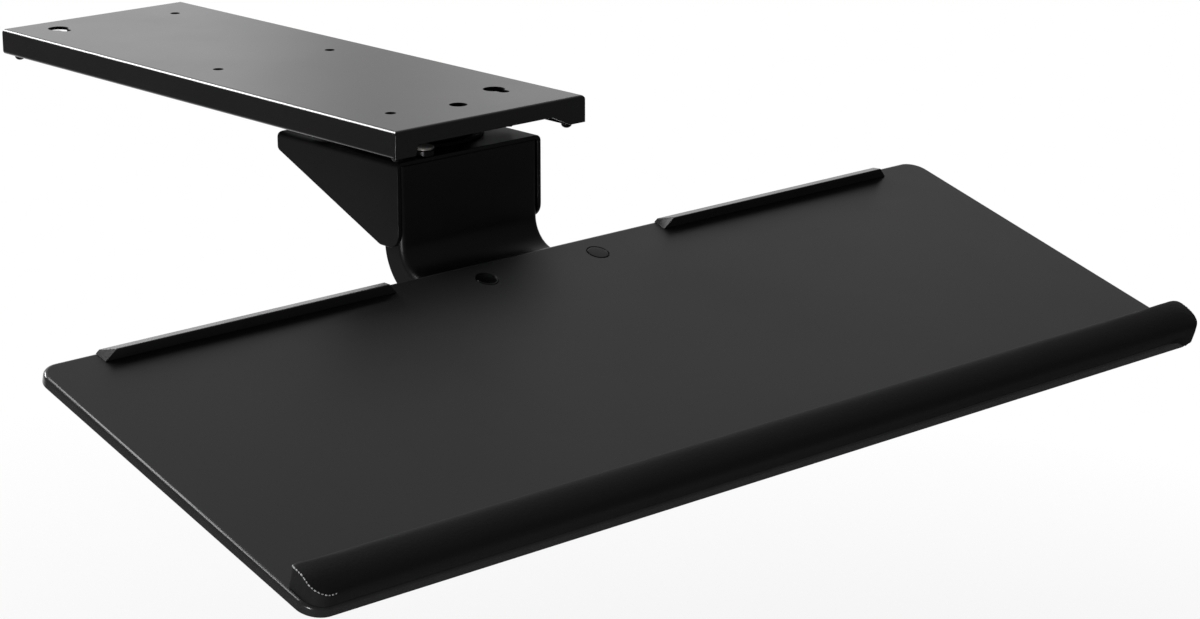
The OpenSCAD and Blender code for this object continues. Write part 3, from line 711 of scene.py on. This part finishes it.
@dataclass
class SwivelArm(SubAssembly):
    """The swivel bracket, the folded arm and the tilt hinge's fixed half.

    The pairs are a radius or depth and a height.
    """

    stop_mm: Point = (-29.0, -173.5, -24.0)
    stop_d: float = 11.0
    stop_h: float = 6.2
    stop_body_h: float = 3.5
    stop_groove: Pair = (0.9, 0.8)
    stop_lip: Pair = (0.2, 0.4)
    stop_shank: Pair = (2.5, 2.5)
    stop_foot: float = 0.3
    stop_shoulder: float = 0.5
    stop_steps: int = 40
    stop_dome_deg: int = 9

    def build(self) -> None:
        """Builds the bracket, the arm and the hinge hardware."""
        for name in ("swivel_bracket", "arm"):
            self.ease_node(name, ARM_COAT, Slot.BLACK_STEEL, 0.5, 3)
        self.ease_node("tilt_bolt", ZINC, Slot.ZINC_STEEL, 0.4, 3, nudge_mm=-0.03)
        self.ease_node("knob_washer", ZINC, Slot.ZINC_STEEL, 0.2, nudge_mm=0.03)
        self.ease_node("spacer_tube", ZINC, Slot.ZINC_STEEL, 0.2)
        for name in ("pivot_bush", "tilt_washers"):
            self.dress_node(name, NYLON)
        self.swivel_stop()

    def swivel_stop(self) -> None:
        """Builds the stop pin on the bracket's top: a collar, a groove and a low domed head."""
        r, h, body = self.stop_d / 2, self.stop_h, self.stop_body_h
        foot, shoulder = self.stop_foot, self.stop_shoulder
        shank_r, shank_l = self.stop_shank
        shank = [(0, -shank_l), (shank_r, -shank_l), (shank_r, 0)]
        collar = [(r - foot, 0), (r, foot), (r, body - shoulder), (r - shoulder, body)]
        deep, wide = self.stop_groove
        lip, lip_h = self.stop_lip
        head = body + wide
        groove = [(r - deep, body), (r - deep, head), (r - lip, head)]
        rim = head + lip_h
        top = dome(r, rim, h - rim, self.stop_dome_deg)
        bm = lathe([*shank, *collar, *groove, *top, (0, h)], self.stop_steps)
        for face in bm.faces:
            face.material_index = int(face.calc_center_median().z > body * MM)
        bmesh.ops.translate(bm, vec=Vector(self.stop_mm) * MM, verts=bm.verts)
        replaced = ("swivel_stop",)
        piece(bm, "swivel_stop_pin", self.body, BLACK_OXIDE, replaced, trim=NICKEL)


@dataclass
class TiltKnob(SubAssembly):
    """The lobed clamp knob."""

    def build(self) -> None:
        """Builds the knob."""
        self.ease_node("tilt_knob", MOULDED_ABS, Slot.BLACK_PLASTIC, 1.0, 3, nudge_mm=0.06)


@dataclass(frozen=True)
class TrayFrame:
    """Where the tray's own frame stands at rest."""

    hinge_y: float = -214.7
    hinge_z: float = -97.8
    pitch_deg: float = 16.3
    setback: float = 3.9
    rise: float = 24.3

    def matrix(self) -> Matrix:
        """Returns the turn and shift from the tray's frame, in metres."""
        hinge = Matrix.Translation(Vector((0, self.hinge_y, self.hinge_z)) * MM)
        back_edge = Matrix.Translation(Vector((0, -self.setback, self.rise)) * MM)
        return hinge @ Matrix.Rotation(math.radians(self.pitch_deg), 4, "X") @ back_edge

    def spot(self, x: float, y: float, z: float) -> Matrix:
        """Returns the place of a point of the tray's frame, given in millimetres."""
        return self.matrix() @ Matrix.Translation(Vector((x, y, z)) * MM)


@dataclass(frozen=True)
class BoardPlan:
    """The board's sizes, which the parts on it share."""

    width: float = 650.0
    depth: float = 233.0
    thickness: float = 6.0
    corner_r: float = 12.0

    def past_edge(self, x: float, y: float) -> float:
        """Returns how far a point lies outside the board's outline, below 0 inside it."""
        past_x = abs(x) - self.width / 2 + self.corner_r
        past_y = abs(y + self.depth / 2) - self.depth / 2 + self.corner_r
        within = min(max(past_x, past_y), 0.0)
        return math.hypot(max(past_x, 0.0), max(past_y, 0.0)) + within - self.corner_r


@dataclass
class TrayPart(SubAssembly):
    """What the sub-assemblies on the tray share: its frame and the board's sizes."""

    place: TrayFrame = TrayFrame()
    plan: BoardPlan = BoardPlan()


@dataclass
class TrayBoard(TrayPart):
    """The tray board with its covers, bracket and fastenings.

    A recess's mouth is its chamfer's width and how far it goes below and above the board's top.
    A cover's rim is a row of points, each by its inset and its depth under the board's top.
    """

    corner_steps: int = 16
    rim_r: float = 2.0
    rim_steps: int = 6
    lower_rim_r: float = 0.7
    lower_rim_steps: int = 3
    edge_deg: float = 60.0
    bolt_x: float = 41.6
    bolt_inset: float = 16.6
    cap_d: float = 12.6
    cap_t: float = 1.4
    cap_foot: float = 0.2
    cap_rim: tuple[Pair, ...] = ((0.0, 0.5), (0.1, 0.25), (0.4, 0.08), (1.0, 0.0))
    recess_d: float = 13.3
    recess_t: float = 3.0
    recess_mouth: Point = (0.4, 0.25, 0.15)
    recess_clear: float = 1.0
    round_steps: int = 48
    bracket_under: float = -8.5
    bracket_screw_y: float = -96.0
    screw: PanScrew = PanScrew(3.0, 7.0, 6.4, 1.8)

    def build(self) -> None:
        """Builds the board, the covers and what holds them."""
        self.board()
        for side, name in ((-1, "cap_left"), (1, "cap_right")):
            self.cap(side, name)
        self.ease_node("tray_bracket", ARM_COAT, Slot.BLACK_STEEL, 0.4, 3)
        self.ease_node("tray_nuts", ZINC, Slot.ZINC_STEEL, 0.3, 3)
        self.dress_node("tray_bolts", ZINC)
        y, z = self.bracket_screw_y, self.bracket_under
        places = [self.place.spot(side * self.bolt_x, y, z) for side in (-1, 1)]
        self.pan_screws("bracket", self.screw, places)

    def board(self) -> None:
        """Builds the board, with rounded rims and a recess for each cover."""
        width, depth, thick = Vector((self.plan.width, self.plan.depth, self.plan.thickness)) * MM
        radius = self.plan.corner_r * MM
        bm = bmesh.new()
        bmesh.ops.create_grid(bm, x_segments=1, y_segments=1, size=0.5)
        bmesh.ops.scale(bm, vec=(width, depth, 0), verts=bm.verts)
        bmesh.ops.translate(bm, vec=(0, -depth / 2, 0), verts=bm.verts)
        bmesh.ops.bevel(
            bm,
            geom=bm.verts[:],
            offset=radius,
            segments=self.corner_steps,
            affect="VERTICES",
            **BEVEL,
        )
        grown = bmesh.ops.extrude_face_region(bm, geom=bm.faces[:])["geom"]
        lower = [v for v in grown if isinstance(v, BMVert)]
        bmesh.ops.translate(bm, vec=(0, 0, -thick), verts=lower)
        bmesh.ops.recalc_face_normals(bm, faces=bm.faces)
        edges = sharp_edges(bm, self.edge_deg)
        under = [e for e in edges if all(v.co.z < -thick / 2 for v in e.verts)]
        ease(bm, under, self.lower_rim_r, self.lower_rim_steps)
        edges = sharp_edges(bm, self.edge_deg)
        upper = [e for e in edges if all(abs(v.co.z) < SAME_SPOT for v in e.verts)]
        ease(bm, upper, self.rim_r, self.rim_steps)
        for side in (-1, 1):
            bm = carve(bm, self.recess(side))
        # The rim and the sides take the edge finish, whose lighter colour is partly a painted
        # highlight.
        for face in bm.faces:
            face.material_index = int(self.is_rim(face.calc_center_median() / MM))
        bmesh.ops.transform(bm, matrix=self.place.matrix(), verts=bm.verts)
        replaced = ("tray_board",)
        piece(bm, "board_panel", self.body, BOARD_LAMINATE, replaced, trim=BOARD_EDGE_AND_RIM_HIGHLIGHT)

    def is_rim(self, spot: Vector) -> bool:
        """Tells whether a point of the board's skin lies on its rounded rim or its sides."""
        return self.plan.past_edge(spot.x, spot.y) > -self.rim_r

    def recess(self, side: int) -> BMesh:
        """Returns the round pocket under a cover, with a chamfered mouth.

        Args:
            side: -1 for the left cover and 1 for the right one.

        Returns:
            The pocket's mesh, in the tray's frame.
        """
        r, t, top = self.recess_d / 2, self.recess_t, self.recess_clear
        wide, below, above = self.recess_mouth
        mouth = [(r, -below), (r + wide, above), (r + wide, top)]
        bm = lathe([(0, -t), (r, -t), *mouth, (0, top)], self.round_steps)
        spot = Vector((side * self.bolt_x, -self.bolt_inset, 0)) * MM
        bmesh.ops.translate(bm, vec=spot, verts=bm.verts)
        return bm

    def cap(self, side: int, node: str) -> None:
        """Builds a cover, flat with a rounded rim.

        Args:
            side: -1 for the left cover and 1 for the right one.
            node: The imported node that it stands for.
        """
        r, t, foot = self.cap_d / 2, self.cap_t, self.cap_foot
        rim = [(r - inset, -low) for inset, low in self.cap_rim]
        bm = lathe([(0, -t), (r - foot, -t), (r, foot - t), *rim, (0, 0)], self.round_steps)
        spot = self.place.spot(side * self.bolt_x, -self.bolt_inset, 0)
        bmesh.ops.transform(bm, matrix=spot, verts=bm.verts)
        piece(bm, f"{node}_cover", self.body, POLISHED_ABS, (node,))


@dataclass
class BackStops(TrayPart):
    """The two stops along the board's back edge."""

    length: float = 189.0
    height: float = 6.3
    depth: float = 9.2
    top: float = 0.6
    lip: float = 2.0
    bevel: float = 6.0
    edge_r: float = 0.3
    edge_steps: int = 3
    edge_deg: float = 15.0
    mid_x: float = 194.5
    back: float = -0.6
    screw_y: float = -6.8
    screw_inset: float = 25.0
    screw: PanScrew = PanScrew(3.0, 9.1, 6.4, 1.8)

    def build(self) -> None:
        """Builds both stops and their screws."""
        for side, name in ((-1, "back_stop_left"), (1, "back_stop_right")):
            self.stop(side, name)
        run = self.length / 2 - self.screw_inset
        spots = [side * self.mid_x + x for side in (-1, 1) for x in (-run, 0, run)]
        places = [self.place.spot(x, self.screw_y, -self.plan.thickness) for x in spots]
        self.pan_screws("back_stop", self.screw, places)

    def stop(self, side: int, node: str) -> None:
        """Builds one stop: a bar whose back and ends are sliced to their slopes.

        Args:
            side: -1 for the left stop and 1 for the right one.
            node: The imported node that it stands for.
        """
        bm = bmesh.new()
        bmesh.ops.create_cube(bm, size=1.0)
        size = Vector((self.length, self.depth, self.height))
        bmesh.ops.scale(bm, vec=size * MM, verts=bm.verts)
        mid = Vector((0, self.back - self.depth / 2, self.height / 2))
        bmesh.ops.translate(bm, vec=mid * MM, verts=bm.verts)
        slope = self.depth - self.top
        drop = self.height - self.lip
        self.slice(bm, (0, self.back, self.lip), (0, drop, slope))
        for end in (-1, 1):
            self.slice(bm, (end * self.length / 2, 0, 0), (end * self.height, 0, self.bevel))
        ease(bm, sharp_edges(bm, self.edge_deg), self.edge_r, self.edge_steps)
        spot = self.place.spot(side * self.mid_x, 0, 0)
        bmesh.ops.transform(bm, matrix=spot, verts=bm.verts)
        piece(bm, f"{node}_bar", self.body, MOULDED_ABS, (node,))

    @staticmethod
    def slice(bm: BMesh, point_mm: Point, outward: Point) -> None:
        """Cuts off what lies outside a plane and closes the cut.

        Args:
            bm: The mesh to cut.
            point_mm: A point of the plane.
            outward: The plane's normal, towards what goes.
        """
        cut = bmesh.ops.bisect_plane(
            bm,
            geom=bm.verts[:] + bm.edges[:] + bm.faces[:],
            dist=SAME_SPOT,
            plane_co=Vector(point_mm) * MM,
            plane_no=outward,
            clear_outer=True,
        )["geom_cut"]
        bmesh.ops.edgeloop_fill(bm, edges=[e for e in cut if isinstance(e, BMEdge)])
        bmesh.ops.recalc_face_normals(bm, faces=bm.faces)


@dataclass
class WristRest(TrayPart):
    """The padded wrist rest along the board's front edge, higher behind than in front.

    The lip is the cover's lower edge, which hangs over the board's side at the right end.
    """

    shift: float = 3.0
    half_w: float = 326.0
    front: float = -232.6
    back: float = -210.0
    front_h: float = 6.5
    back_h: float = 12.5
    crown: float = 1.8
    front_r: float = 9.0
    back_r: float = 3.0
    tuck: float = 0.3
    end_run: float = 16.0
    left_fall: float = 0.5
    right_fall: float = 1.8
    lip_drop: float = 5.0
    lip_gap: float = 0.3
    lip_t: float = 0.5
    lip_fade: Pair = (21.0, 9.0)
    columns: int = 180
    corner_columns: int = 9
    rows: int = 16
    wall_rows: int = 6
    firm_h: float = 3.0
    softness: float = 0.5
    soft_passes: int = 4
    seam_passes: int = 2
    seam_deg: float = 70.0
    slack: float = 0.2
    slack_mm: float = 48.0
    slack_margin: float = 1.0
    held_h: float = 0.5
    pressure: float = 4.0
    swell: float = 0.5
    frames: int = 20
    stitch_gap: float = 1.9
    stitch_run: float = 12.0
    stitch_end: float = 1.5
    stitch_out: float = 0.4
    stitch_size: Point = (0.72, 0.42, 0.38)
    stitch_spread: Pair = (0.75, 1.2)
    stitch_seed: int = 7
    screw_gap: float = 140.0
    screws_a_side: int = 2
    screw: PanScrew = PanScrew(3.0, 8.5, 6.4, 1.8)

    def build(self) -> None:
        """Builds the pad, its stitching, its base strip and its screws."""
        self.pad()
        self.ease_node("rest_base", NYLON, Slot.BLACK_PLASTIC, 0.2)
        mid = (self.front + self.back) / 2
        run = range(-self.screws_a_side, self.screws_a_side + 1)
        spots = [self.shift + i * self.screw_gap for i in run]
        places = [self.place.spot(x, mid, -self.plan.thickness) for x in spots]
        self.pan_screws("rest", self.screw, places)

    def frame(self) -> Matrix:
        """Returns the rest's own frame, in the middle of its length."""
        return self.place.spot(self.shift, 0, 0)

    def top_z(self, y: float) -> float:
        """Returns the height of the crowned top over y: an arc over the line from edge to edge."""
        slope = Vector((self.back - self.front, self.back_h - self.front_h))
        radius = (slope.length_squared / 4 + self.crown**2) / (2 * self.crown)
        up = Vector((-slope.y, slope.x)).normalized()
        mid = Vector((self.front, self.front_h)) + slope / 2 - (radius - self.crown) * up
        return mid.y + math.sqrt(max(0.0, radius**2 - (y - mid.x) ** 2))

    def skin_z(self, x: float, y: float) -> float:
        """Returns the height of the pad's top over a point: it falls away a little at the ends."""
        past = max(0.0, abs(x) - self.half_w + self.end_run) / self.end_run
        return self.top_z(y) - (self.left_fall if x < 0 else self.right_fall) * past**2

    def overhang(self, x: float, y: float) -> float:
        """Returns how far a point of the rest's plan lies outside the board's."""
        return self.plan.past_edge(x + self.shift, y)

    def reach(self, x: float) -> Pair:
        """Returns the front and back edges of the rest's plan at x."""
        over_front = max(0.0, abs(x) - (self.half_w - self.front_r))
        over_back = max(0.0, abs(x) - (self.half_w - self.back_r))
        front = self.front + self.front_r - math.sqrt(max(0.0, self.front_r**2 - over_front**2))
        back = self.back - self.back_r + math.sqrt(max(0.0, self.back_r**2 - over_back**2))
        return front, back

    def column_x(self, column: int) -> float:
        """Returns where a column of the pad's mesh stands: closer round the front corners."""
        last = min(column, self.columns - column)
        straight = self.half_w - self.front_r
        corner = self.corner_columns
        if last < corner:
            reach = straight + self.front_r * math.cos(math.pi / 2 * last / corner)
        else:
            reach = straight * (1 - (last - corner) / (self.columns / 2 - corner))
        return math.copysign(reach, column - self.columns / 2)

    def plan_normal(self, x: float, y: float) -> Vector:
        """Returns the outward direction of the plan's edge at a point on it."""
        side = math.copysign(1.0, x)
        front_x, front_y = self.half_w - self.front_r, self.front + self.front_r
        back_x, back_y = self.half_w - self.back_r, self.back - self.back_r
        if abs(x) > front_x and y < front_y:
            return Vector((x - side * front_x, y - front_y, 0)).normalized()
        if abs(x) > back_x and y > back_y:
            return Vector((x - side * back_x, y - back_y, 0)).normalized()
        if abs(x) > self.half_w - ON_LINE:
            return Vector((side, 0, 0))
        return Vector((0, -1 if y < (self.front + self.back) / 2 else 1, 0))

    def pad(self) -> None:
        """Builds the padded cover: its crowned top, its walls, its swelling and its stitches."""
        bm = bmesh.new()
        bmesh.ops.create_grid(bm, x_segments=self.columns, y_segments=self.rows, size=0.5)
        for v in bm.verts:
            x = self.column_x(round((v.co.x + 0.5) * self.columns))
            front, back = self.reach(x)
            y = front + (back - front) * (v.co.y + 0.5)
            v.co = Vector((x, y, self.skin_z(x, y)))
        edges = [e for e in bm.edges if e.is_boundary]
        rim = self.ordered([v.co.copy() for v in {v for e in edges for v in e.verts}])
        for rows_left in range(self.wall_rows, 0, -1):
            verts, edges = extruded(bm, edges)
            for v in verts:
                v.co.z *= (rows_left - 1) / rows_left
        self.lip(bm, edges)
        bm = settled(bm)
        bmesh.ops.edgeloop_fill(bm, edges=[e for e in bm.edges if e.is_boundary])
        bmesh.ops.recalc_face_normals(bm, faces=bm.faces)
        self.soften(bm)
        bmesh.ops.scale(bm, vec=(MM, MM, MM), verts=bm.verts)
        bm = self.swollen(bm)
        skin = BVHTree.FromBMesh(bm)
        bmesh.ops.transform(bm, matrix=self.frame(), verts=bm.verts)
        crease = self.seam_deg
        pad = piece(bm, "rest_pad_cover", self.body, LEATHERETTE, ("rest_pad",), crease)
        self.stitching(rim, skin)

    def hang(self, x: float, y: float) -> float:
        """Returns the share of the lip that hangs at a point, which fades out round the front."""
        if x > 0 and y < self.front + self.front_r:
            start, full = self.lip_fade
            share = (x + self.shift - self.plan.width / 2 + start) / (start - full)
        else:
            share = self.overhang(x, y) - self.lip_gap
        share = min(1.0, max(0.0, share))
        # Level at both ends of the fade.
        return share * share * (3 - 2 * share)

    def lip(self, bm: BMesh, edges: list[BMEdge]) -> None:
        """Tucks in the walls' lower edge, and hangs it where the rest stands past the board.

        Args:
            bm: The pad, in millimetres in its own frame.
            edges: The lower edge of its walls.
        """
        rims = [list({v for e in edges for v in e.verts})]
        for _ in range(2):
            verts, edges = extruded(bm, edges)
            rims.append(verts)
        # The lip's outer edge, its inner edge, and the edge of the seat on the board.
        outer, inner, seat = rims
        for rim in rims:
            for v in rim:
                share = self.hang(v.co.x, v.co.y)
                clear = self.overhang(v.co.x, v.co.y) - self.lip_gap
                if rim is outer:
                    inward = min(self.tuck, clear - self.lip_t) if share else self.tuck
                elif rim is inner and share:
                    inward = clear
                else:
                    inward = max(clear, self.tuck * (2 if rim is inner else 3))
                v.co -= self.plan_normal(v.co.x, v.co.y) * inward
                v.co.z -= 0.0 if rim is seat else self.lip_drop * share

    def soften(self, bm: BMesh) -> None:
        """Lets the top lie a little uneven, and rounds the long bends more than the end seams.

        Args:
            bm: The pad, in millimetres in its own frame.
        """
        margin = self.slack_margin
        for v in bm.verts:
            front, back = self.reach(v.co.x)
            if front + margin < v.co.y < back - margin and v.co.z > margin:
                v.co.z += self.slack * noise.noise(v.co / self.slack_mm)
        long_run = self.half_w - self.front_r
        bends = [v for v in bm.verts if abs(v.co.x) <= long_run and v.co.z > self.firm_h]
        across = {"factor": self.softness, "use_axis_y": True, "use_axis_z": True}
        for _ in range(self.soft_passes):
            bmesh.ops.smooth_vert(bm, verts=bends, **across)
        ends = [v for v in bm.verts if abs(v.co.x) > long_run and v.co.z > self.firm_h]
        for _ in range(self.seam_passes):
            bmesh.ops.smooth_vert(bm, verts=ends, use_axis_x=True, **across)

    def swollen(self, bm: BMesh) -> BMesh:
        """Blows the cover up as cloth, its lower edge held, and caps how far it moves.

        Args:
            bm: The pad, in metres in its own frame, which is freed.

        Returns:
            The swollen pad.
        """
        scene = bpy.context.scene
        cover = put(bm, "swelling")
        mesh = cover.data
        held = cover.vertex_groups.new(name="held")
        low = [v.index for v in mesh.vertices if v.co.z < self.held_h * MM]
        held.add(low, 1.0, "REPLACE")
        cloth = cover.modifiers.new("swelling", "CLOTH").settings
        cloth.vertex_group_mass = held.name
        cloth.use_pressure = True
        cloth.uniform_pressure_force = self.pressure
        cloth.effector_weights.gravity = 0.0
        for frame in range(1, self.frames + 1):
            scene.frame_set(frame)
        blown = cover.evaluated_get(bpy.context.evaluated_depsgraph_get()).to_mesh()
        result = bmesh.new()
        result.from_mesh(mesh)
        cap = self.swell * MM
        for v, moved in zip(result.verts, blown.vertices):
            shift = moved.co - v.co
            v.co += shift.normalized() * cap * math.tanh(shift.length / cap)
        LOG.info("rest_pad_cover: swollen by cloth")
        scene.frame_set(1)
        discard(cover)
        return result

    def ordered(self, points: list[Vector]) -> list[Vector]:
        """Returns the rim's points in order round the pad."""
        mid = (self.front + self.back) / 2
        stretch = 2 * self.half_w / (self.back - self.front)
        return sorted(points, key=lambda p: math.atan2((p.y - mid) * stretch, p.x))

    def is_sewn(self, spot: Vector) -> bool:
        """Tells whether a point of the rim has stitches: both ends, and the left front corner."""
        if spot.x > 0:
            return spot.x > self.half_w - ON_LINE and spot.y < self.back - self.back_r
        return spot.x < self.stitch_run - self.half_w and spot.y < self.back - self.stitch_end

    def stitching(self, rim: list[Vector], skin: BVHTree) -> None:
        """Sews a row of uneven stitches along the seam of each end.

        Args:
            rim: The rim's points in order, in millimetres in the rest's own frame.
            skin: The pad's finished surface, in metres in the rest's own frame.
        """
        dice = random.Random(self.stitch_seed)
        places = []
        due = 0.0
        for here, there in zip(rim, rim[1:] + rim[:1]):
            run = (there - here).length
            while due <= run and run > 0:
                spot = here.lerp(there, due / run)
                if self.is_sewn(spot):
                    aim = spot + self.plan_normal(spot.x, spot.y) * self.stitch_out
                    place, normal, _, _ = skin.find_nearest(aim * MM)
                    along = (there - here).normalized()
                    along = (along - normal * along.dot(normal)).normalized()
                    turn = Matrix((along, normal.cross(along), normal)).transposed().to_4x4()
                    size = Matrix.Scale(dice.uniform(*self.stitch_spread), 4)
                    places.append(self.frame() @ Matrix.Translation(place) @ turn @ size)
                due += self.stitch_gap
            due -= run
        bm = bmesh.new()
        bmesh.ops.create_uvsphere(bm, u_segments=8, v_segments=6, radius=MM)
        bmesh.ops.scale(bm, vec=self.stitch_size, verts=bm.verts)
        # The thread's pale colour paints the glints of single stitches along the end seams.
        piece(copies(bm, places), "rest_stitching", self.body, THREAD_AND_PAINTED_GLINT)


@dataclass(frozen=True)
class Softbox:
    """An area lamp that faces the tray, its place and size in metres and its power in watts."""

    name: str
    place: Point
    size: Pair
    power: float


@dataclass(frozen=True)
class Glow:
    """A brightness of the room that changes towards one side.

    The spread is two cosines between which it changes, and the levels are its values there.
    """

    towards: Point
    spread: Pair
    levels: Pair

    def brightness(self, tree: NodeTree, heading: NodeSocket) -> NodeSocket:
        """Adds the brightness to the room.

        Args:
            tree: The world's nodes.
            heading: Direction of a ray.

        Returns:
            The brightness.
        """
        product = {"operation": "DOT_PRODUCT"}
        facing = add_node(tree, "ShaderNodeVectorMath", product, heading, self.towards)
        span = ramp(self.spread, self.levels)
        return add_node(tree, "ShaderNodeMapRange", span, facing.outputs["Value"]).outputs["Result"]


# Brightness of the room round the tray, where no backdrop stands.
ROOM_LEVEL = 0.13
# Level direction across the seam between the backdrop's two sheets.
SEAM_SIDE = (0.784, -0.621, 0.0)


@dataclass
class Studio:
    """Camera, soft light and a pale floor.

    The floor's fade is two shares of its radius, between which it turns to the white round it.
    """

    eye_mm: Point = (-1137.3, -1523.4, 390.8)
    angles_deg: Point = (73.736, 0.294, -41.539)
    lens_mm: float = 95.26
    sensor_mm: float = 36.0
    shift: Pair = (0.0524, 0.0046)
    sight_m: float = 50.0
    floor_mm: float = -700.0
    floor_r: float = 1.7
    floor_fade: Pair = (0.3, 0.9)
    floor_white: Pair = (0.5, 1.0)
    behind: Glow = Glow((0.66, 0.75, 0.0), (0.35, 0.7), (0.0, 1.0))
    depth: Glow = Glow((0.0, 1.0, 0.0), (0.13, 0.57), (0.0, 1.0 - ROOM_LEVEL))
    left_sheet: Glow = Glow(SEAM_SIDE, (-0.045, -0.005), (1.0, 0.5))
    right_sheet: Glow = Glow(SEAM_SIDE, (0.005, 0.045), (0.0, 0.28))
    panel: Glow = Glow((0.63, 0.13, 0.77), (0.94, 0.985), (ROOM_LEVEL, 0.35))
    lamps: tuple[Softbox, ...] = (
        Softbox("back_softbox", (-1.1, 5.0, 3.7), (3.2, 1.4), 290.0),
        Softbox("left_softbox", (-0.9, 0.9, 2.3), (2.4, 0.3), 23.0),
        Softbox("low_fill", (-2.4, -1.2, -0.55), (0.6, 0.6), 30.0),
    )
    lamp_aim: Point = (0.0, -0.2, -0.1)

    def build(self) -> None:
        """Sets up the camera, the light and the floor."""
        self.camera()
        self.light()
        self.floor()

    def camera(self) -> None:
        """Places the camera at the photograph's angle."""
        data = bpy.data.cameras.new("photo_camera")
        data.lens = self.lens_mm
        data.sensor_width = self.sensor_mm
        data.shift_x, data.shift_y = self.shift
        data.clip_end = self.sight_m
        made = bpy.data.objects.new("photo_camera", data)
        made.location = Vector(self.eye_mm) * MM
        made.rotation_euler = [math.radians(a) for a in self.angles_deg]
        bpy.context.scene.collection.objects.link(made)
        bpy.context.scene.camera = made

    def lamp(self, box: Softbox) -> None:
        """Hangs a softbox, with its first side level along the tray's width.

        Args:
            box: The lamp.
        """
        data = bpy.data.lights.new(box.name, "AREA")
        data.shape = "RECTANGLE"
        data.size, data.size_y = box.size
        data.energy = box.power
        made = bpy.data.objects.new(box.name, data)
        made.location = box.place
        facing = (Vector(box.place) - Vector(self.lamp_aim)).normalized()
        across = (Vector((1, 0, 0)) - facing * facing.x).normalized()
        turn = Matrix((across, facing.cross(across), facing)).transposed()
        made.rotation_euler = turn.to_euler()
        bpy.context.scene.collection.objects.link(made)

    def light(self) -> None:
        """Lights the tray from above, in a room that is white behind it and dim elsewhere."""
        scene = bpy.context.scene
        scene.view_settings.view_transform = "Standard"
        scene.world = bpy.data.worlds.new("studio")
        scene.world.use_nodes = True
        tree = scene.world.node_tree
        heading = add_node(tree, "ShaderNodeTexCoord").outputs["Generated"]
        glows = (self.behind, self.depth, self.left_sheet, self.right_sheet, self.panel)
        behind, depth, left, right, panel = (g.brightness(tree, heading) for g in glows)
        sheets = add_node(tree, "ShaderNodeMath", {"operation": "ADD"}, left, right).outputs[0]
        wall = add_node(tree, "ShaderNodeMath", {"operation": "MULTIPLY"}, depth, sheets).outputs[0]
        total = {"operation": "MULTIPLY_ADD"}
        level = add_node(tree, "ShaderNodeMath", total, behind, wall, panel).outputs[0]
        room = tree.nodes["Background"]
        room.inputs["Color"].default_value = linear(WHITE)
        tree.links.new(level, room.inputs["Strength"])
        white = add_node(tree, "ShaderNodeBackground", {"Color": linear(WHITE), "Strength": 1.0})
        seen = add_node(tree, "ShaderNodeLightPath").outputs["Is Camera Ray"]
        ends = (room.outputs[0], white.outputs[0])
        either = add_node(tree, "ShaderNodeMixShader", None, seen, *ends)
        tree.links.new(either.outputs[0], tree.nodes["World Output"].inputs["Surface"])
        for box in self.lamps:
            self.lamp(box)

    def floor(self) -> None:
        """Lays the pale floor, which fades into the white round it."""
        bm = bmesh.new()
        bmesh.ops.create_circle(bm, cap_ends=True, radius=self.floor_r, segments=96)
        bmesh.ops.translate(bm, verts=bm.verts, vec=(0, 0, self.floor_mm * MM))
        made = put(bm, "floor")
        made.data.materials.append(self.floor_paint())
        made.visible_glossy = False

    def floor_paint(self) -> Material:
        """Returns the floor's matte white paint."""
        paint = bpy.data.materials.new("matte_white_floor")
        paint.use_nodes = True
        tree = paint.node_tree
        shader = tree.nodes["Principled BSDF"]
        shader.inputs["Base Color"].default_value = linear("#f2f2f2")
        shader.inputs["Roughness"].default_value = 0.9
        shader.inputs["Specular IOR Level"].default_value = 0.0
        place = add_node(tree, "ShaderNodeTexCoord").outputs["Object"]
        level = (1.0, 1.0, 0.0)
        flat = add_node(tree, "ShaderNodeVectorMath", {"operation": "MULTIPLY"}, place, level)
        out = flat.outputs["Vector"]
        reach = add_node(tree, "ShaderNodeVectorMath", {"operation": "LENGTH"}, out)
        near, far = (share * self.floor_r for share in self.floor_fade)
        span = ramp((near, far), self.floor_white)
        fade = add_node(tree, "ShaderNodeMapRange", span, reach.outputs["Value"]).outputs["Result"]
        seen = add_node(tree, "ShaderNodeLightPath").outputs["Is Camera Ray"]
        share = add_node(tree, "ShaderNodeMath", {"operation": "MULTIPLY"}, fade, seen)
        white = add_node(tree, "ShaderNodeEmission", {"Color": linear(WHITE), "Strength": 1.0})
        ends = (shader.outputs[0], white.outputs[0])
        either = add_node(tree, "ShaderNodeMixShader", None, share.outputs[0], *ends)
        tree.links.new(either.outputs[0], tree.nodes["Material Output"].inputs["Surface"])
        return paint


def main() -> None:
    """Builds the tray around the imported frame."""
    logging.basicConfig(level=logging.INFO, format="%(message)s")
    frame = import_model()
    Studio().build()
    nodes = frame["nodes"]
    MountingTrack(nodes, Body.TRACK).build()
    SlideCarriage(nodes, Body.CARRIAGE).build()
    SwivelArm(nodes, Body.ARM).build()
    TiltKnob(nodes, Body.KNOB).build()
    TrayBoard(nodes, Body.TRAY).build()
    BackStops(nodes, Body.TRAY).build()
    WristRest(nodes, Body.TRAY).build()


if __name__ == "__main__":
    main()
